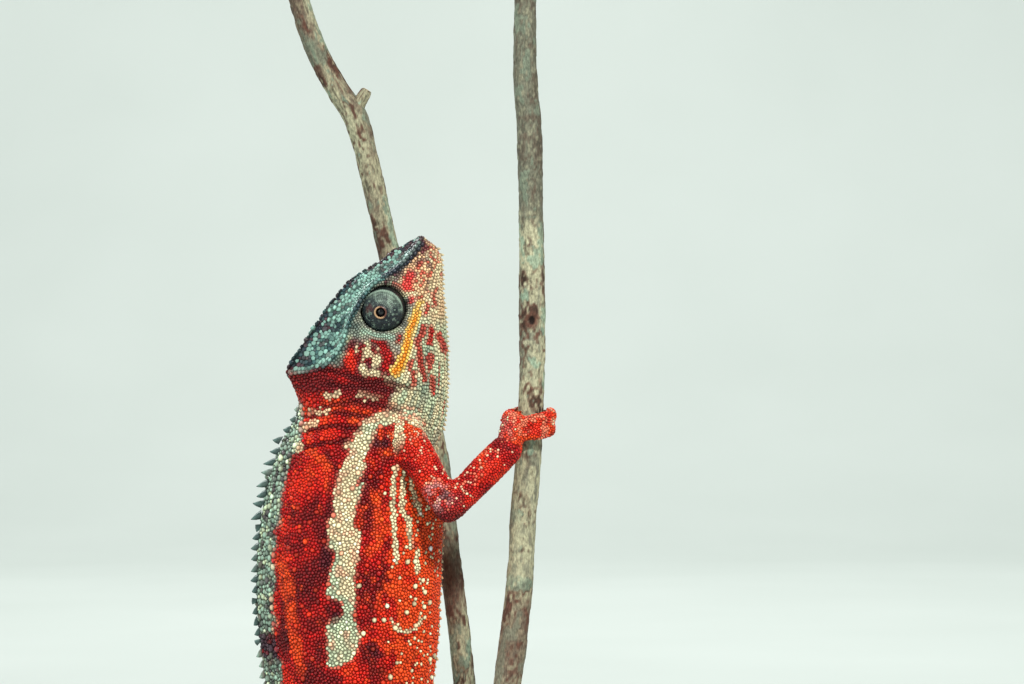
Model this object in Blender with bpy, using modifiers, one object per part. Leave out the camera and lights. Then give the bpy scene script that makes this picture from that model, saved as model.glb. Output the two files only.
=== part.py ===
"""Male panther chameleon climbing two cut stems, life size, on a plain display stand.

The frame is in metres with +Z up: the belly faces +X, the animal's right side faces -Y, and the
origin is the middle of the base's underside. Lengths in this file are millimetres, and MM turns
them into metres where a mesh is made. The animal is built of lofts: rings of points are read from
a few named rails and stations, and neighbouring solids are parted by thin cuts, GAP wide.
"""
import math

import bmesh
import bpy
from mathutils import Matrix, Vector

MM = 0.001
GAP = 0.3
COLLECTION = "panther_chameleon"

# ---------------------------------------------------------------- head
# Head places are (ahead, up, out): ahead of the mouth corner along the jaw, up toward the crown,
# out to the side.
MOUTH_CORNER = Vector((-1.3, 0.0, 244.3))
HEAD_LEAN = math.radians(17.7)
HEAD_ROLL = math.radians(8.0)
ROLL_STARTS, ROLL_IS_FULL = -14.8, -3.0
SNOUT_TIP = 37.3
AHEAD = Vector((math.sin(HEAD_LEAN), 0.0, math.cos(HEAD_LEAN)))
DORSAL = Vector((-math.cos(HEAD_LEAN), 0.0, math.sin(HEAD_LEAN)))
RIGHT = Vector((0.0, -1.0, 0.0))
HEAD_STATIONS = (37.3, 36.8, 35.8, 34.2, 31.5, 28.0, 24.5, 21.0, 17.0, 13.0, 9.0, 5.0, 1.0, -2.5,
                 -5.2, -7.8, -10.2, -14.8)

# Rails keyed by the place ahead of the mouth corner. CROWN and CHIN give up; the rest up and out.
CROWN = ((-14.8, 23.3), (-11.8, 25.6), (-7.8, 29.0), (2.9, 26.4), (12.6, 23.4), (20.9, 20.2),
         (27.4, 14.8), (30.8, 13.1), (34.0, 9.8), (36.0, 8.0), (37.3, 6.5))
CREST = ((-14.8, 20.4, 4.4), (-11.8, 23.0, 2.8), (-7.8, 27.2, 1.5), (-4.6, 21.8, 5.2),
         (-1.4, 19.5, 6.8), (3.0, 17.9, 8.0), (9.5, 18.0, 8.8), (15.0, 16.9, 9.0), (20.7, 15.0, 8.1),
         (25.7, 10.6, 6.1), (30.8, 7.8, 4.8), (35.0, 6.2, 3.4), (37.3, 6.3, 0.8))
TEMPLE = ((-14.8, 15.8, 8.0), (-7.8, 18.2, 7.6), (-2.0, 16.0, 8.4), (5.0, 14.2, 8.8),
          (10.0, 14.4, 8.4), (15.0, 13.6, 8.0), (20.7, 11.4, 7.4), (25.7, 8.4, 6.2),
          (30.8, 6.5, 5.1), (35.0, 5.4, 3.8), (37.3, 6.1, 0.9))
CHEEK = ((-14.8, 5.6, 11.3), (-8.0, 5.4, 11.7), (0.0, 5.4, 12.2), (5.0, 5.8, 12.0),
         (9.5, 5.0, 10.4), (15.0, 4.6, 8.6), (21.0, 5.0, 7.2), (28.0, 4.4, 6.2),
         (33.0, 4.2, 5.0), (35.5, 4.4, 3.6), (37.3, 6.0, 0.9))
LIP = ((-14.8, -1.6, 11.0), (-6.0, -0.8, 11.4), (0.0, 0.6, 11.9), (5.0, 0.8, 11.5), (15.0, 1.0, 8.8),
       (21.0, 1.2, 7.6), (28.0, 1.6, 6.4), (33.0, 1.8, 4.9), (35.5, 2.8, 3.2), (37.3, 5.9, 0.8))
JAW = ((-14.8, -7.0, 8.9), (-5.0, -5.6, 9.6), (5.0, -3.4, 9.8), (15.0, -1.6, 8.0), (28.0, -0.3, 5.4),
       (33.0, 0.4, 3.9), (35.5, 2.4, 2.2), (37.3, 5.8, 0.6))
CHIN = ((-14.8, -14.8), (-9.4, -15.0), (-3.5, -14.1), (3.1, -12.3), (9.8, -10.2), (14.6, -8.4),
        (21.1, -5.6), (26.5, -3.2), (32.9, -0.9), (34.9, 0.4), (36.1, 2.8), (37.3, 5.6))
CASQUE_HOLLOW = 0.9
ORBIT_HOLLOW = 0.9
MOUTH_LINE = 0.1
JAW_BACK = (-1.2, -6.4)

# ---------------------------------------------------------------- neck and trunk
# Stations keyed by the distance behind the snout tip: back x, back z, belly x, belly z, half width.
TRUNK = ((62.7, -34.0, 224.5, 10.4, 219.5, 13.6), (78.8, -38.0, 206.0, 10.6, 206.0, 15.2),
         (94.8, -39.0, 190.0, 9.8, 190.0, 16.0), (112.8, -37.6, 172.0, 8.8, 172.0, 15.6),
         (134.8, -33.5, 150.0, 5.4, 150.0, 13.4), (154.8, -26.4, 130.0, -0.4, 130.0, 10.4),
         (169.8, -20.4, 115.2, -5.2, 115.2, 7.6))
# From back to belly: share of the way up from the belly, share of the half width.
TRUNK_SECTION = ((1.0, 0.0), (0.965, 0.16), (0.90, 0.42), (0.81, 0.69), (0.70, 0.88), (0.58, 1.0),
                 (0.46, 1.0), (0.34, 0.93), (0.23, 0.79), (0.13, 0.60), (0.05, 0.34), (0.0, 0.0))
HEAD_END = 46.4
NECK_END = 64.0
TRUNK_PARTING = 114.0
VENT = 169.8
TRUNK_STEP = 8.2

# Dorsal crest: cones along the back, longest over the shoulders, leaning toward the tail.
CREST_HEIGHT = ((54.0, 0.9), (60.0, 1.9), (70.0, 2.2), (82.0, 1.5), (95.0, 1.2), (125.0, 1.1),
                (160.0, 0.9))
CREST_START, CREST_STOP, CREST_SPACING = 53.6, 165.0, 2.75
CREST_BASE = 1.25
CREST_ROOT = 1.4
CREST_LEAN = 0.55

# ---------------------------------------------------------------- eyes
EYE_PLACE = (15.65, 10.2, 6.4)
TURRET_RADIUS = 5.7
TURRET_BACK = -4.3
EYEBALL_RADIUS = 3.8
EYEBALL_FORWARD = 1.0
PUPIL_OPENING = 1.35
RIGHT_GAZE = Vector((-0.13, -1.0, -0.18))
LEFT_GAZE = Vector((0.22, 1.0, 0.10))

# ---------------------------------------------------------------- stems
# Routes run from the cut foot up: x, y, z, radius.
FRONT_STEM = ((20.0, -6.0, 40.0, 4.0), (20.0, -6.0, 78.0, 3.9), (20.0, -6.0, 110.0, 3.85),
              (21.0, -6.0, 132.0, 3.75), (23.8, -5.6, 150.0, 3.7), (26.5, -5.0, 165.5, 3.66),
              (28.5, -5.0, 181.0, 3.6), (29.4, -5.0, 189.2, 3.55), (30.1, -5.0, 197.4, 3.5),
              (30.7, -5.0, 210.1, 3.5), (31.7, -5.0, 220.9, 3.4), (32.9, -5.0, 245.1, 3.3),
              (32.9, -5.0, 259.5, 3.5), (32.6, -5.0, 286.6, 3.2), (32.1, -5.0, 308.5, 3.25),
              (31.1, -5.0, 321.1, 3.15), (31.0, -5.0, 334.0, 2.9), (31.1, -5.0, 348.0, 2.8))
BACK_STEM = ((19.5, 22.0, 40.0, 3.3), (19.5, 22.0, 76.0, 3.2), (19.3, 22.0, 100.0, 3.2),
             (18.9, 22.0, 118.0, 3.15), (17.6, 22.0, 140.0, 3.1), (15.1, 22.0, 162.8, 3.05),
             (13.4, 22.0, 178.8, 3.0), (10.2, 22.0, 203.7, 3.0), (7.8, 22.0, 223.6, 2.95),
             (1.3, 22.0, 251.0, 2.95), (-5.7, 22.0, 280.7, 2.95), (-11.3, 22.0, 304.8, 3.1),
             (-14.1, 22.0, 313.6, 3.4), (-18.1, 22.0, 319.7, 3.1), (-24.3, 22.0, 331.1, 2.9),
             (-29.9, 22.0, 348.0, 2.8))
STEM_RINGS = 24
TWIG_STUB = (Vector((-14.6, 22.0, 314.0)), Vector((-10.6, 21.4, 320.4)), 1.5)

# ---------------------------------------------------------------- tail
# The tail bends forward from the vent and then winds down round the back stem.
TAIL_APPROACH = ((0.0, -12.8, 0.0, 115.2), (10.0, -12.7, 0.1, 105.2), (19.5, -10.0, 1.2, 96.2),
                 (29.0, -3.8, 3.4, 89.4), (38.3, 4.2, 6.8, 86.0), (47.5, 12.6, 10.6, 84.4))
TAIL_RADIUS = ((0.0, 7.3), (14.0, 6.9), (30.0, 5.6), (57.0, 4.3), (100.0, 3.1), (140.0, 2.1),
               (170.0, 1.45), (186.0, 1.0))
TAIL_LENGTH = 186.0
COIL_AXIS = Vector((19.5, 22.0, 0.0))
COIL_STEM_RADIUS = 3.3
COIL_START_ANGLE = math.radians(-76.0)
COIL_START_HEIGHT = 83.8
COIL_CLEARANCE = 0.8
TAIL_PARTINGS = (0.0, 40.0, 84.0, 132.0, TAIL_LENGTH)
TAIL_SIDES = 8
TAIL_RING_STEP = 3.4

# ---------------------------------------------------------------- limbs
# Joints of each limb and the half thickness at them; palm_from is the side of the stem, as an
# angle seen from above, on which the palm lies, and outer_turn the way the outer toes go round.
UPPER_SHAPE = ((0.0, 1.22), (0.4, 1.08), (0.75, 0.97), (1.0, 0.93))
LOWER_SHAPE = ((0.0, 0.91), (0.3, 0.96), (0.65, 1.02), (1.0, 0.97))
LIMB_SIDES = 8
LIMBS = {
    "arm_right": dict(root=(-0.5, -8.8, 231.0), middle=(11.7, -17.5, 211.4), end=(27.0, -12.4, 226.9),
                      thickness=4.4, stem="front", grip_height=231.4, palm_from=228.0,
                      outer_turn=1, outer_toes=2, inner_toes=3, rise=3.0),
    "arm_left": dict(root=(-2.9, 9.5, 230.5), middle=(-2.0, 26.5, 212.8), end=(-5.2, 23.8, 239.6),
                     thickness=4.15, stem="back", grip_height=247.0, palm_from=172.0,
                     outer_turn=-1, outer_toes=2, inner_toes=3, rise=0.8),
    "leg_right": dict(root=(-9.0, -6.8, 128.0), middle=(3.0, -20.5, 143.0), end=(13.0, -9.6, 133.0),
                      thickness=4.5, stem="front", grip_height=129.5, palm_from=204.0,
                      outer_turn=1, outer_toes=3, inner_toes=2, rise=-0.6),
    "leg_left": dict(root=(-8.5, 6.6, 128.0), middle=(-1.0, 26.6, 136.0), end=(10.6, 23.6, 119.6),
                     thickness=4.5, stem="back", grip_height=114.0, palm_from=170.0,
                     outer_turn=-1, outer_toes=3, inner_toes=2, rise=-0.6),
}
SEGMENT_NAMES = {"arm": ("upper_arm", "forearm", "fore"), "leg": ("thigh", "shin", "hind")}
TOE_SPACING = 2.8
TOE_BREADTH = 1.16
INNER_TOES_LOWER = 1.2
TOE_SIDES = 6
# Along a toe: share of the sweep, half thickness, stand-off from the stem beyond touching.
TOE_SHAPE = ((0.0, 1.9, 0.6), (0.28, 1.95, 0.3), (0.56, 1.8, 0.2), (0.84, 1.5, 0.25),
             (1.0, 0.3, 1.2))
TOE_SWEEP = (30.0, 172.0)
TOE_STAGGER = 4.0
TOE_SPREAD = 1.18
SIDE_TOE_SHORTER = 9.0
PALM_HALF_HEIGHT = 4.6
PALM_HALF_DEPTH = 3.4
PALM_THICKNESS = 3.4
# Along the link from wrist to palm: share of the way, reach beyond that in half thicknesses of the
# limb, and width; then rings of the pad: share of its thickness out from the stem, and size.
LINK_SHAPE = ((0.0, -0.5, 0.6), (0.0, 0.0, 0.84), (1.0, 0.0, 0.75), (1.0, 0.45, 0.46))
PAD_SHAPE = ((0.0, 0.88), (1.0, 1.0), (1.6, 0.62))
TOE_PARTING = -1.2
DOME_ANGLES = (0.4, 0.85, 1.35)
ARM_CLEARS, LEG_CLEARS = (40.0, 100.0), (125.0, VENT)

# ---------------------------------------------------------------- stand
BASE_SIZE = (150.0, 110.0, 12.0)
BASE_EDGE = 3.0
ROD_RADIUS = 3.0
ROD_FOOT_RADIUS = 8.0
CUP_WALL = 1.6
CUP_DEPTH = 6.0
ROD_SIDES = 10

COLOURS = {
    "skin": ((0.55, 0.05, 0.03), 0.6, 0.0), "casque": ((0.30, 0.38, 0.38), 0.6, 0.0),
    "turret": ((0.20, 0.24, 0.23), 0.55, 0.0), "eyeball": ((0.03, 0.02, 0.01), 0.15, 0.0),
    "bark": ((0.45, 0.38, 0.30), 0.85, 0.0), "base": ((0.12, 0.10, 0.09), 0.5, 0.0),
    "rod": ((0.25, 0.25, 0.26), 0.4, 1.0),
}


# ================================================================ helpers
def material(name):
    """The named material, made the first time it is asked for."""
    if name in bpy.data.materials:
        return bpy.data.materials[name]
    colour, roughness, metallic = COLOURS[name]
    made = bpy.data.materials.new(name)
    made.use_nodes = True
    shader = made.node_tree.nodes["Principled BSDF"]
    shader.inputs["Base Color"].default_value = (*colour, 1.0)
    shader.inputs["Roughness"].default_value = roughness
    shader.inputs["Metallic"].default_value = metallic
    return made


def keyed(rows, key):
    """Values at key on a smooth curve through rows of (key, value, ...), held level past its ends."""
    if key <= rows[0][0]:
        return rows[0][1:]
    if key >= rows[-1][0]:
        return rows[-1][1:]
    i = next(i for i in range(len(rows) - 1) if key <= rows[i + 1][0])
    before, low, high, after = rows[max(i - 1, 0)], rows[i], rows[i + 1], rows[min(i + 2, len(rows) - 1)]
    span = high[0] - low[0]
    t = (key - low[0]) / span
    values = []
    for b, l, h, a in zip(before[1:], low[1:], high[1:], after[1:]):
        enter = (h - b) * (span / (high[0] - before[0]))
        leave = (a - l) * (span / (after[0] - low[0]))
        values.append(l * (1 - t) ** 2 * (1 + 2 * t) + h * t * t * (3 - 2 * t)
                      + enter * t * (1 - t) ** 2 - leave * t * t * (1 - t))
    return values


def blend(a, b, share):
    return a + (b - a) * share


def add_object(name, mesh, material_name, smooth_angle=35.0):
    """Put a mesh in the collection as a named object with its material, round parts shaded smooth."""
    mesh.materials.clear()
    mesh.materials.append(material(material_name))
    mesh.shade_smooth()
    mesh.set_sharp_from_angle(angle=math.radians(smooth_angle))
    made = bpy.data.objects.new(name, mesh)
    bpy.data.collections[COLLECTION].objects.link(made)
    return made


def loft(name, rings, material_name):
    """A closed solid through rings of points, which all have the same number of points."""
    bm = bmesh.new()
    loops = [[bm.verts.new(point * MM) for point in ring] for ring in rings]
    for low, high in zip(loops, loops[1:]):
        for i in range(len(low)):
            j = (i + 1) % len(low)
            bm.faces.new((low[i], low[j], high[j], high[i]))
    bm.faces.new(list(reversed(loops[0])))
    bm.faces.new(loops[-1])
    bmesh.ops.recalc_face_normals(bm, faces=bm.faces)
    bmesh.ops.triangulate(bm, faces=bm.faces)
    mesh = bpy.data.meshes.new(name)
    bm.to_mesh(mesh)
    bm.free()
    return add_object(name, mesh, material_name)


def combine(target, tool, operation):
    """Apply a Boolean of the tool object to the target object, and remove the tool."""
    modifier = target.modifiers.new(operation, "BOOLEAN")
    modifier.operation = operation
    modifier.object = tool
    depsgraph = bpy.context.evaluated_depsgraph_get()
    mesh = bpy.data.meshes.new_from_object(target.evaluated_get(depsgraph))
    target.modifiers.clear()
    target.data = mesh
    bpy.data.objects.remove(tool)


def copy_of(source, name):
    made = bpy.data.objects.new(name, source.data.copy())
    bpy.data.collections[COLLECTION].objects.link(made)
    return made


def keep_side(target, point, normal):
    """Cut the target by a plane, keep the side its normal points away from, and close the cut."""
    bm = bmesh.new()
    bm.from_mesh(target.data)
    bmesh.ops.bisect_plane(bm, geom=bm.verts[:] + bm.edges[:] + bm.faces[:], dist=1e-7,
                           plane_co=point * MM, plane_no=normal, clear_outer=True)
    bmesh.ops.holes_fill(bm, edges=[edge for edge in bm.edges if edge.is_boundary])
    bm.to_mesh(target.data)
    bm.free()


def circle_ring(centre, side, up, half_side, half_up, count):
    """An ellipse of points round a centre."""
    turns = [2 * math.pi * i / count for i in range(count)]
    return [centre + side * (math.cos(a) * half_side) + up * (math.sin(a) * half_up) for a in turns]


def path_directions(points):
    """The direction of a path at each of its points."""
    last = len(points) - 1
    return [(points[min(i + 1, last)] - points[max(i - 1, 0)]).normalized() for i in range(last + 1)]


def path_frames(directions, up):
    """Side and up directions along a path, carried from point to point without twist."""
    frames = []
    for along in directions:
        up = (up - along * up.dot(along)).normalized()
        frames.append((along.cross(up), up))
    return frames


# ================================================================ body rings
def head_ring(ahead):
    """The head's outline across the line of the jaw, at a place ahead of the mouth corner."""
    crown, chin = keyed(CROWN, ahead)[0], keyed(CHIN, ahead)[0]
    crest, temple, cheek, lip, jaw = (Vector(keyed(rail, ahead))
                                      for rail in (CREST, TEMPLE, CHEEK, LIP, JAW))
    top, bottom = Vector((crown, 0.0)), Vector((chin, 0.0))
    hollow = CASQUE_HOLLOW * min(1.0, crest.y / 6.0)
    casque = blend(top, crest, 0.45) - Vector((hollow, 0.0))
    eye_near = math.exp(-((ahead - EYE_PLACE[0]) / 6.0) ** 2)
    orbit = blend(temple, cheek, 0.5) - Vector((0.0, ORBIT_HOLLOW * eye_near))
    upper_lip = blend(cheek, lip, 0.55)
    throat_side = blend(jaw, bottom, 0.38) + Vector((-0.05, 0.10)) * jaw.y
    throat = blend(jaw, bottom, 0.74) + Vector((-0.09, 0.10)) * jaw.y
    half = (casque, crest, temple, orbit, cheek, upper_lip, lip, jaw, throat_side, throat)
    roll_share = (ahead - ROLL_STARTS) / (ROLL_IS_FULL - ROLL_STARTS)
    roll = HEAD_ROLL * max(0.0, min(1.0, roll_share))
    up = DORSAL * math.cos(roll) + RIGHT * math.sin(roll)
    out = RIGHT * math.cos(roll) - DORSAL * math.sin(roll)
    return full_ring(MOUTH_CORNER + AHEAD * ahead, up, out, top, half, bottom)


def full_ring(origin, up, out, top, half, bottom):
    """Mirror a half outline of (up, out) pairs into a ring of points in space."""
    right = [origin + up * place.x + out * place.y for place in half]
    left = [origin + up * place.x - out * place.y for place in half]
    return [origin + up * top.x] + right + [origin + up * bottom.x] + left[::-1]


def trunk_ring(back_x, back_z, belly_x, belly_z, half_width):
    back, belly = Vector((back_x, 0.0, back_z)), Vector((belly_x, 0.0, belly_z))
    half = [Vector((share, width * half_width)) for share, width in TRUNK_SECTION]
    return full_ring(belly, back - belly, RIGHT, half[0], half[1:-1], half[-1])


def body_stations():
    """Rows of (distance behind the snout, point, point, ...) from the snout to the vent."""
    head = [(SNOUT_TIP - ahead, *head_ring(ahead)) for ahead in HEAD_STATIONS]
    return head + [(row[0], *trunk_ring(*row[1:])) for row in TRUNK]


BODY = body_stations()


def body_ring(behind):
    """The body's ring at a distance behind the snout tip."""
    return list(keyed(BODY, behind))


def grown(ring, distance):
    """A ring moved outward in its own plane."""
    middle = sum(ring, Vector()) / len(ring)
    count = len(ring)
    axis = sum(((ring[i] - middle).cross(ring[(i + 1) % count] - middle) for i in range(count)),
               Vector()).normalized()
    moved = []
    for i, point in enumerate(ring):
        outward = (ring[(i + 1) % count] - ring[i - 1]).cross(axis).normalized()
        moved.append(point + outward * distance)
    return moved


def stations_between(start, stop, step):
    """Distances from start to stop that keep the head's own stations and are at most a step apart."""
    marks = [start] + [row[0] for row in BODY if start + 0.8 < row[0] < stop - 0.8] + [stop]
    places = []
    for low, high in zip(marks, marks[1:]):
        pieces = max(1, math.ceil((high - low) / step))
        places += [low + (high - low) * i / pieces for i in range(pieces)]
    return places + [stop]


def body_length(name, start, stop, material_name):
    """A length of the body between two distances behind the snout."""
    return loft(name, [body_ring(place) for place in stations_between(start, stop, TRUNK_STEP)],
                material_name)


def body_cutter(start, stop):
    """The body grown by the gap, for cutting what lies against it."""
    rings = [grown(body_ring(place), GAP) for place in stations_between(start, stop, TRUNK_STEP)]
    return loft("body_cutter", rings, "skin")


def head_point(ahead, up, out):
    """A place on the head in space; out is positive on the animal's right."""
    rolled_up = DORSAL * math.cos(HEAD_ROLL) + RIGHT * math.sin(HEAD_ROLL)
    rolled_out = RIGHT * math.cos(HEAD_ROLL) - DORSAL * math.sin(HEAD_ROLL)
    return MOUTH_CORNER + AHEAD * ahead + rolled_up * up + rolled_out * out


# ================================================================ head, eyes, neck and trunk
def jaw_wedge(name, inset):
    """The space that the lower jaw fills, ahead of its hinge and below the mouth line."""
    reach, depth = 60.0, 40.0
    hinge_top = (JAW_BACK[0] + inset, MOUTH_LINE - inset)
    hinge_bottom = (JAW_BACK[1] + inset, MOUTH_LINE - depth)
    outline = (hinge_top, (reach, MOUTH_LINE - inset), (reach, -depth), hinge_bottom)
    rings = [[head_point(ahead, up, out) for ahead, up in outline] for out in (-depth, depth)]
    return loft(name, rings, "skin")


def build_head():
    head = body_length("head", 0.0, HEAD_END - GAP / 2, "casque")
    jaw = copy_of(head, "jaw")
    combine(head, jaw_wedge("mouth_cutter", -GAP / 2), "DIFFERENCE")
    combine(jaw, jaw_wedge("jaw_cutter", GAP / 2), "INTERSECT")
    for out in (EYE_PLACE[2], -EYE_PLACE[2]):
        gaze = RIGHT_GAZE if out > 0 else LEFT_GAZE
        combine(head, turned("socket_cutter", turret_outside(GAP), out, gaze, "turret"), "DIFFERENCE")


def turret_outside(margin):
    """Profile of the eye turret's outside, from its front pole down to its back, grown by a margin."""
    radius, back = TURRET_RADIUS + margin, TURRET_BACK - margin
    angles = [math.radians(a) for a in (90, 66, 42, 18, -8, -30)]
    dome = [(radius * math.cos(a), radius * math.sin(a)) for a in angles]
    rim = math.sqrt(radius ** 2 - back ** 2)
    return [(0.0, radius)] + dome[1:] + [(rim, back), (0.0, back)]


def turret_cup():
    """Profile of the turret: up the hollow for the eyeball, over the lids and down the outside."""
    hollow = EYEBALL_RADIUS + GAP
    opening = math.degrees(math.acos(PUPIL_OPENING / hollow))
    angles = [math.radians(a) for a in (-90, -58, -26, 6, 38, opening)]
    inside = [(hollow * math.cos(a), EYEBALL_FORWARD + hollow * math.sin(a)) for a in angles]
    inside[0] = (0.0, EYEBALL_FORWARD - hollow)
    lid_height = math.sqrt(TURRET_RADIUS ** 2 - (PUPIL_OPENING + 0.35) ** 2)
    return inside + [(PUPIL_OPENING + 0.35, lid_height)] + turret_outside(0.0)[1:]


def turned(name, profile, out, gaze, material_name, steps=12):
    """A solid turned from a profile of (radius, height), set in the eye's place along its gaze."""
    centre = head_point(EYE_PLACE[0], EYE_PLACE[1], out)
    made = screwed(name, profile, material_name, steps)
    turn = gaze.to_track_quat("Z", "Y").to_matrix().to_4x4()
    made.data.transform(Matrix.Translation(centre * MM) @ turn)
    return made


def screwed(name, profile, material_name, steps):
    """A solid turned round Z from a profile of (radius, height) that starts and ends on the axis."""
    mesh = bpy.data.meshes.new(name)
    points = [(radius * MM, 0.0, height * MM) for radius, height in profile]
    mesh.from_pydata(points, [(i, i + 1) for i in range(len(points) - 1)], [])
    made = add_object(name, mesh, material_name)
    screw = made.modifiers.new("turn", "SCREW")
    screw.steps = screw.render_steps = steps
    screw.use_merge_vertices = True
    screw.merge_threshold = 0.00001
    depsgraph = bpy.context.evaluated_depsgraph_get()
    solid = bpy.data.meshes.new_from_object(made.evaluated_get(depsgraph))
    made.modifiers.clear()
    made.data = solid
    solid.materials.clear()
    solid.materials.append(material(material_name))
    solid.shade_smooth()
    solid.set_sharp_from_angle(angle=math.radians(35.0))
    return made


def build_eye(side, out, gaze):
    turned("eye_turret_" + side, turret_cup(), out, gaze, "turret")
    centre = head_point(EYE_PLACE[0], EYE_PLACE[1], out) + gaze.normalized() * EYEBALL_FORWARD
    bpy.ops.mesh.primitive_uv_sphere_add(segments=12, ring_count=6, radius=EYEBALL_RADIUS * MM,
                                         location=centre * MM)
    ball = bpy.context.object
    add_object("eyeball_" + side, ball.data, "eyeball").matrix_world = ball.matrix_world
    bpy.data.objects.remove(ball)


def crest_cones(start, stop):
    """One mesh of the dorsal crest's cones that stand wholly between two distances."""
    count = int((CREST_STOP - CREST_START) / CREST_SPACING)
    places = [CREST_START + CREST_SPACING * i for i in range(count + 1)]
    mesh = bmesh.new()
    for place in places:
        if not start + CREST_BASE + 0.3 < place < stop - CREST_BASE - 1.2:
            continue
        ring = body_ring(place)
        back, belly = ring[0], ring[len(ring) // 2]
        tailward = (body_ring(place + 1.0)[0] - back).normalized()
        outward = (back - belly).normalized()
        lean = (outward + tailward * CREST_LEAN).normalized()
        height = keyed(CREST_HEIGHT, place)[0] / lean.dot(outward)
        foot = back - lean * CREST_ROOT
        turn = lean.to_track_quat("Z", "Y").to_matrix().to_4x4()
        middle = foot + lean * (CREST_ROOT + height) / 2
        bmesh.ops.create_cone(mesh, cap_ends=True, segments=4, radius1=CREST_BASE * MM, radius2=0.0,
                              depth=(CREST_ROOT + height) * MM,
                              matrix=Matrix.Translation(middle * MM) @ turn)
    data = bpy.data.meshes.new("crest")
    mesh.to_mesh(data)
    mesh.free()
    return add_object("crest", data, "skin")


def build_neck_and_trunk():
    lengths = (("neck", HEAD_END, NECK_END), ("trunk_front", NECK_END, TRUNK_PARTING),
               ("trunk_rear", TRUNK_PARTING, VENT))
    for name, start, stop in lengths:
        made = body_length(name, start + GAP / 2, stop - GAP / 2, "skin")
        combine(made, crest_cones(start, stop), "UNION")


# ================================================================ tail
def tail_radius(distance):
    return keyed(TAIL_RADIUS, distance)[0]


def tail_route():
    """Points of the tail's middle line as rows of (distance from the vent, x, y, z)."""
    rows = list(TAIL_APPROACH)
    angle, height = COIL_START_ANGLE, COIL_START_HEIGHT
    distance = TAIL_APPROACH[-1][0]
    last = Vector(TAIL_APPROACH[-1][1:])
    turn = math.radians(12.0)
    while distance < TAIL_LENGTH:
        thickness = tail_radius(distance)
        reach = COIL_STEM_RADIUS + GAP + thickness
        point = COIL_AXIS + Vector((math.cos(angle) * reach, math.sin(angle) * reach, height))
        distance += (point - last).length
        rows.append((distance, *point))
        last = point
        angle += turn
        height -= (2 * thickness + COIL_CLEARANCE) * turn / (2 * math.pi)
    return rows


def build_tail():
    route = tail_route()
    names = ("tail_root", "tail_bend", "tail_coil", "tail_tip")
    for name, start, stop in zip(names, TAIL_PARTINGS, TAIL_PARTINGS[1:]):
        low, high = start + GAP / 2, min(stop, route[-1][0]) - GAP / 2
        count = max(2, round((high - low) / TAIL_RING_STEP))
        places = [low + (high - low) * i / count for i in range(count + 1)]
        points = [Vector(keyed(route, place)) for place in places]
        directions = [Vector(keyed(route, place + 0.5)) - Vector(keyed(route, place - 0.5))
                      for place in places]
        frames = path_frames([way.normalized() for way in directions], Vector((-1.0, 0.0, 0.3)))
        rings = [circle_ring(point, side, up, tail_radius(place), tail_radius(place), TAIL_SIDES)
                 for point, (side, up), place in zip(points, frames, places)]
        loft(name, rings, "skin")


# ================================================================ limbs
def stem_at(route, height):
    """The stem's middle point, its direction and its radius at a height."""
    rows = [(row[2], *row) for row in route]
    x, y, z, radius = keyed(rows, height)
    above, below = keyed(rows, height + 2.0), keyed(rows, height - 2.0)
    direction = (Vector(above[:3]) - Vector(below[:3])).normalized()
    return Vector((x, y, z)), direction, radius


def grip_of(limb):
    """The stem's middle, direction and radius where the limb grips it, and the way to the palm."""
    route = FRONT_STEM if limb["stem"] == "front" else BACK_STEM
    centre, direction, radius = stem_at(route, limb["grip_height"])
    angle = math.radians(limb["palm_from"])
    palm_way = Vector((math.cos(angle), math.sin(angle), 0.0))
    palm_way = (palm_way - direction * palm_way.dot(direction)).normalized()
    return centre, direction, radius, palm_way


def domed_tube(name, start, stop, shape, thickness):
    """A round limb length with rounded ends that reach past its two joints."""
    along = (stop - start).normalized()
    up = Vector((0.0, 0.0, 1.0)) if abs(along.z) < 0.9 else Vector((1.0, 0.0, 0.0))
    side = along.cross(up).normalized()
    up = side.cross(along)
    first, last = (keyed(shape, share)[0] * thickness for share in (0.0, 1.0))
    spots = [(start - along * first * math.sin(a), first * math.cos(a)) for a in DOME_ANGLES[::-1]]
    spots += [(blend(start, stop, i / 4), keyed(shape, i / 4)[0] * thickness) for i in range(5)]
    spots += [(stop + along * last * math.sin(a), last * math.cos(a)) for a in DOME_ANGLES]
    rings = [circle_ring(point, side, up, radius, radius, LIMB_SIDES) for point, radius in spots]
    return loft(name, rings, "skin")


def part_at_joint(target, joint, arriving, leaving, keeps_arriving):
    """Cut a limb length at a joint by the plane that halves the bend."""
    normal = (arriving.normalized() + leaving.normalized()).normalized()
    if not keeps_arriving:
        normal = -normal
    keep_side(target, joint - normal * GAP / 2, normal)


def toe(grip, sweep, turn, height_at_root, height_at_tip):
    """One toe wrapped round the stem from beside the palm to its claw."""
    centre, direction, radius, palm_way = grip
    side_way = direction.cross(palm_way) * turn
    points, sizes = [], []
    for share, thickness, stand_off in TOE_SHAPE:
        angle = math.radians(blend(sweep[0], sweep[1], share))
        reach = radius + GAP + thickness + stand_off
        rise = blend(height_at_root, height_at_tip, share)
        points.append(centre + direction * rise
                      + (palm_way * math.cos(angle) + side_way * math.sin(angle)) * reach)
        sizes.append(thickness)
    frames = path_frames(path_directions(points), direction)
    rings = [circle_ring(point, side, up, size, size * TOE_BREADTH, TOE_SIDES)
             for point, (side, up), size in zip(points, frames, sizes)]
    return loft("toe", rings, "skin")


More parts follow.
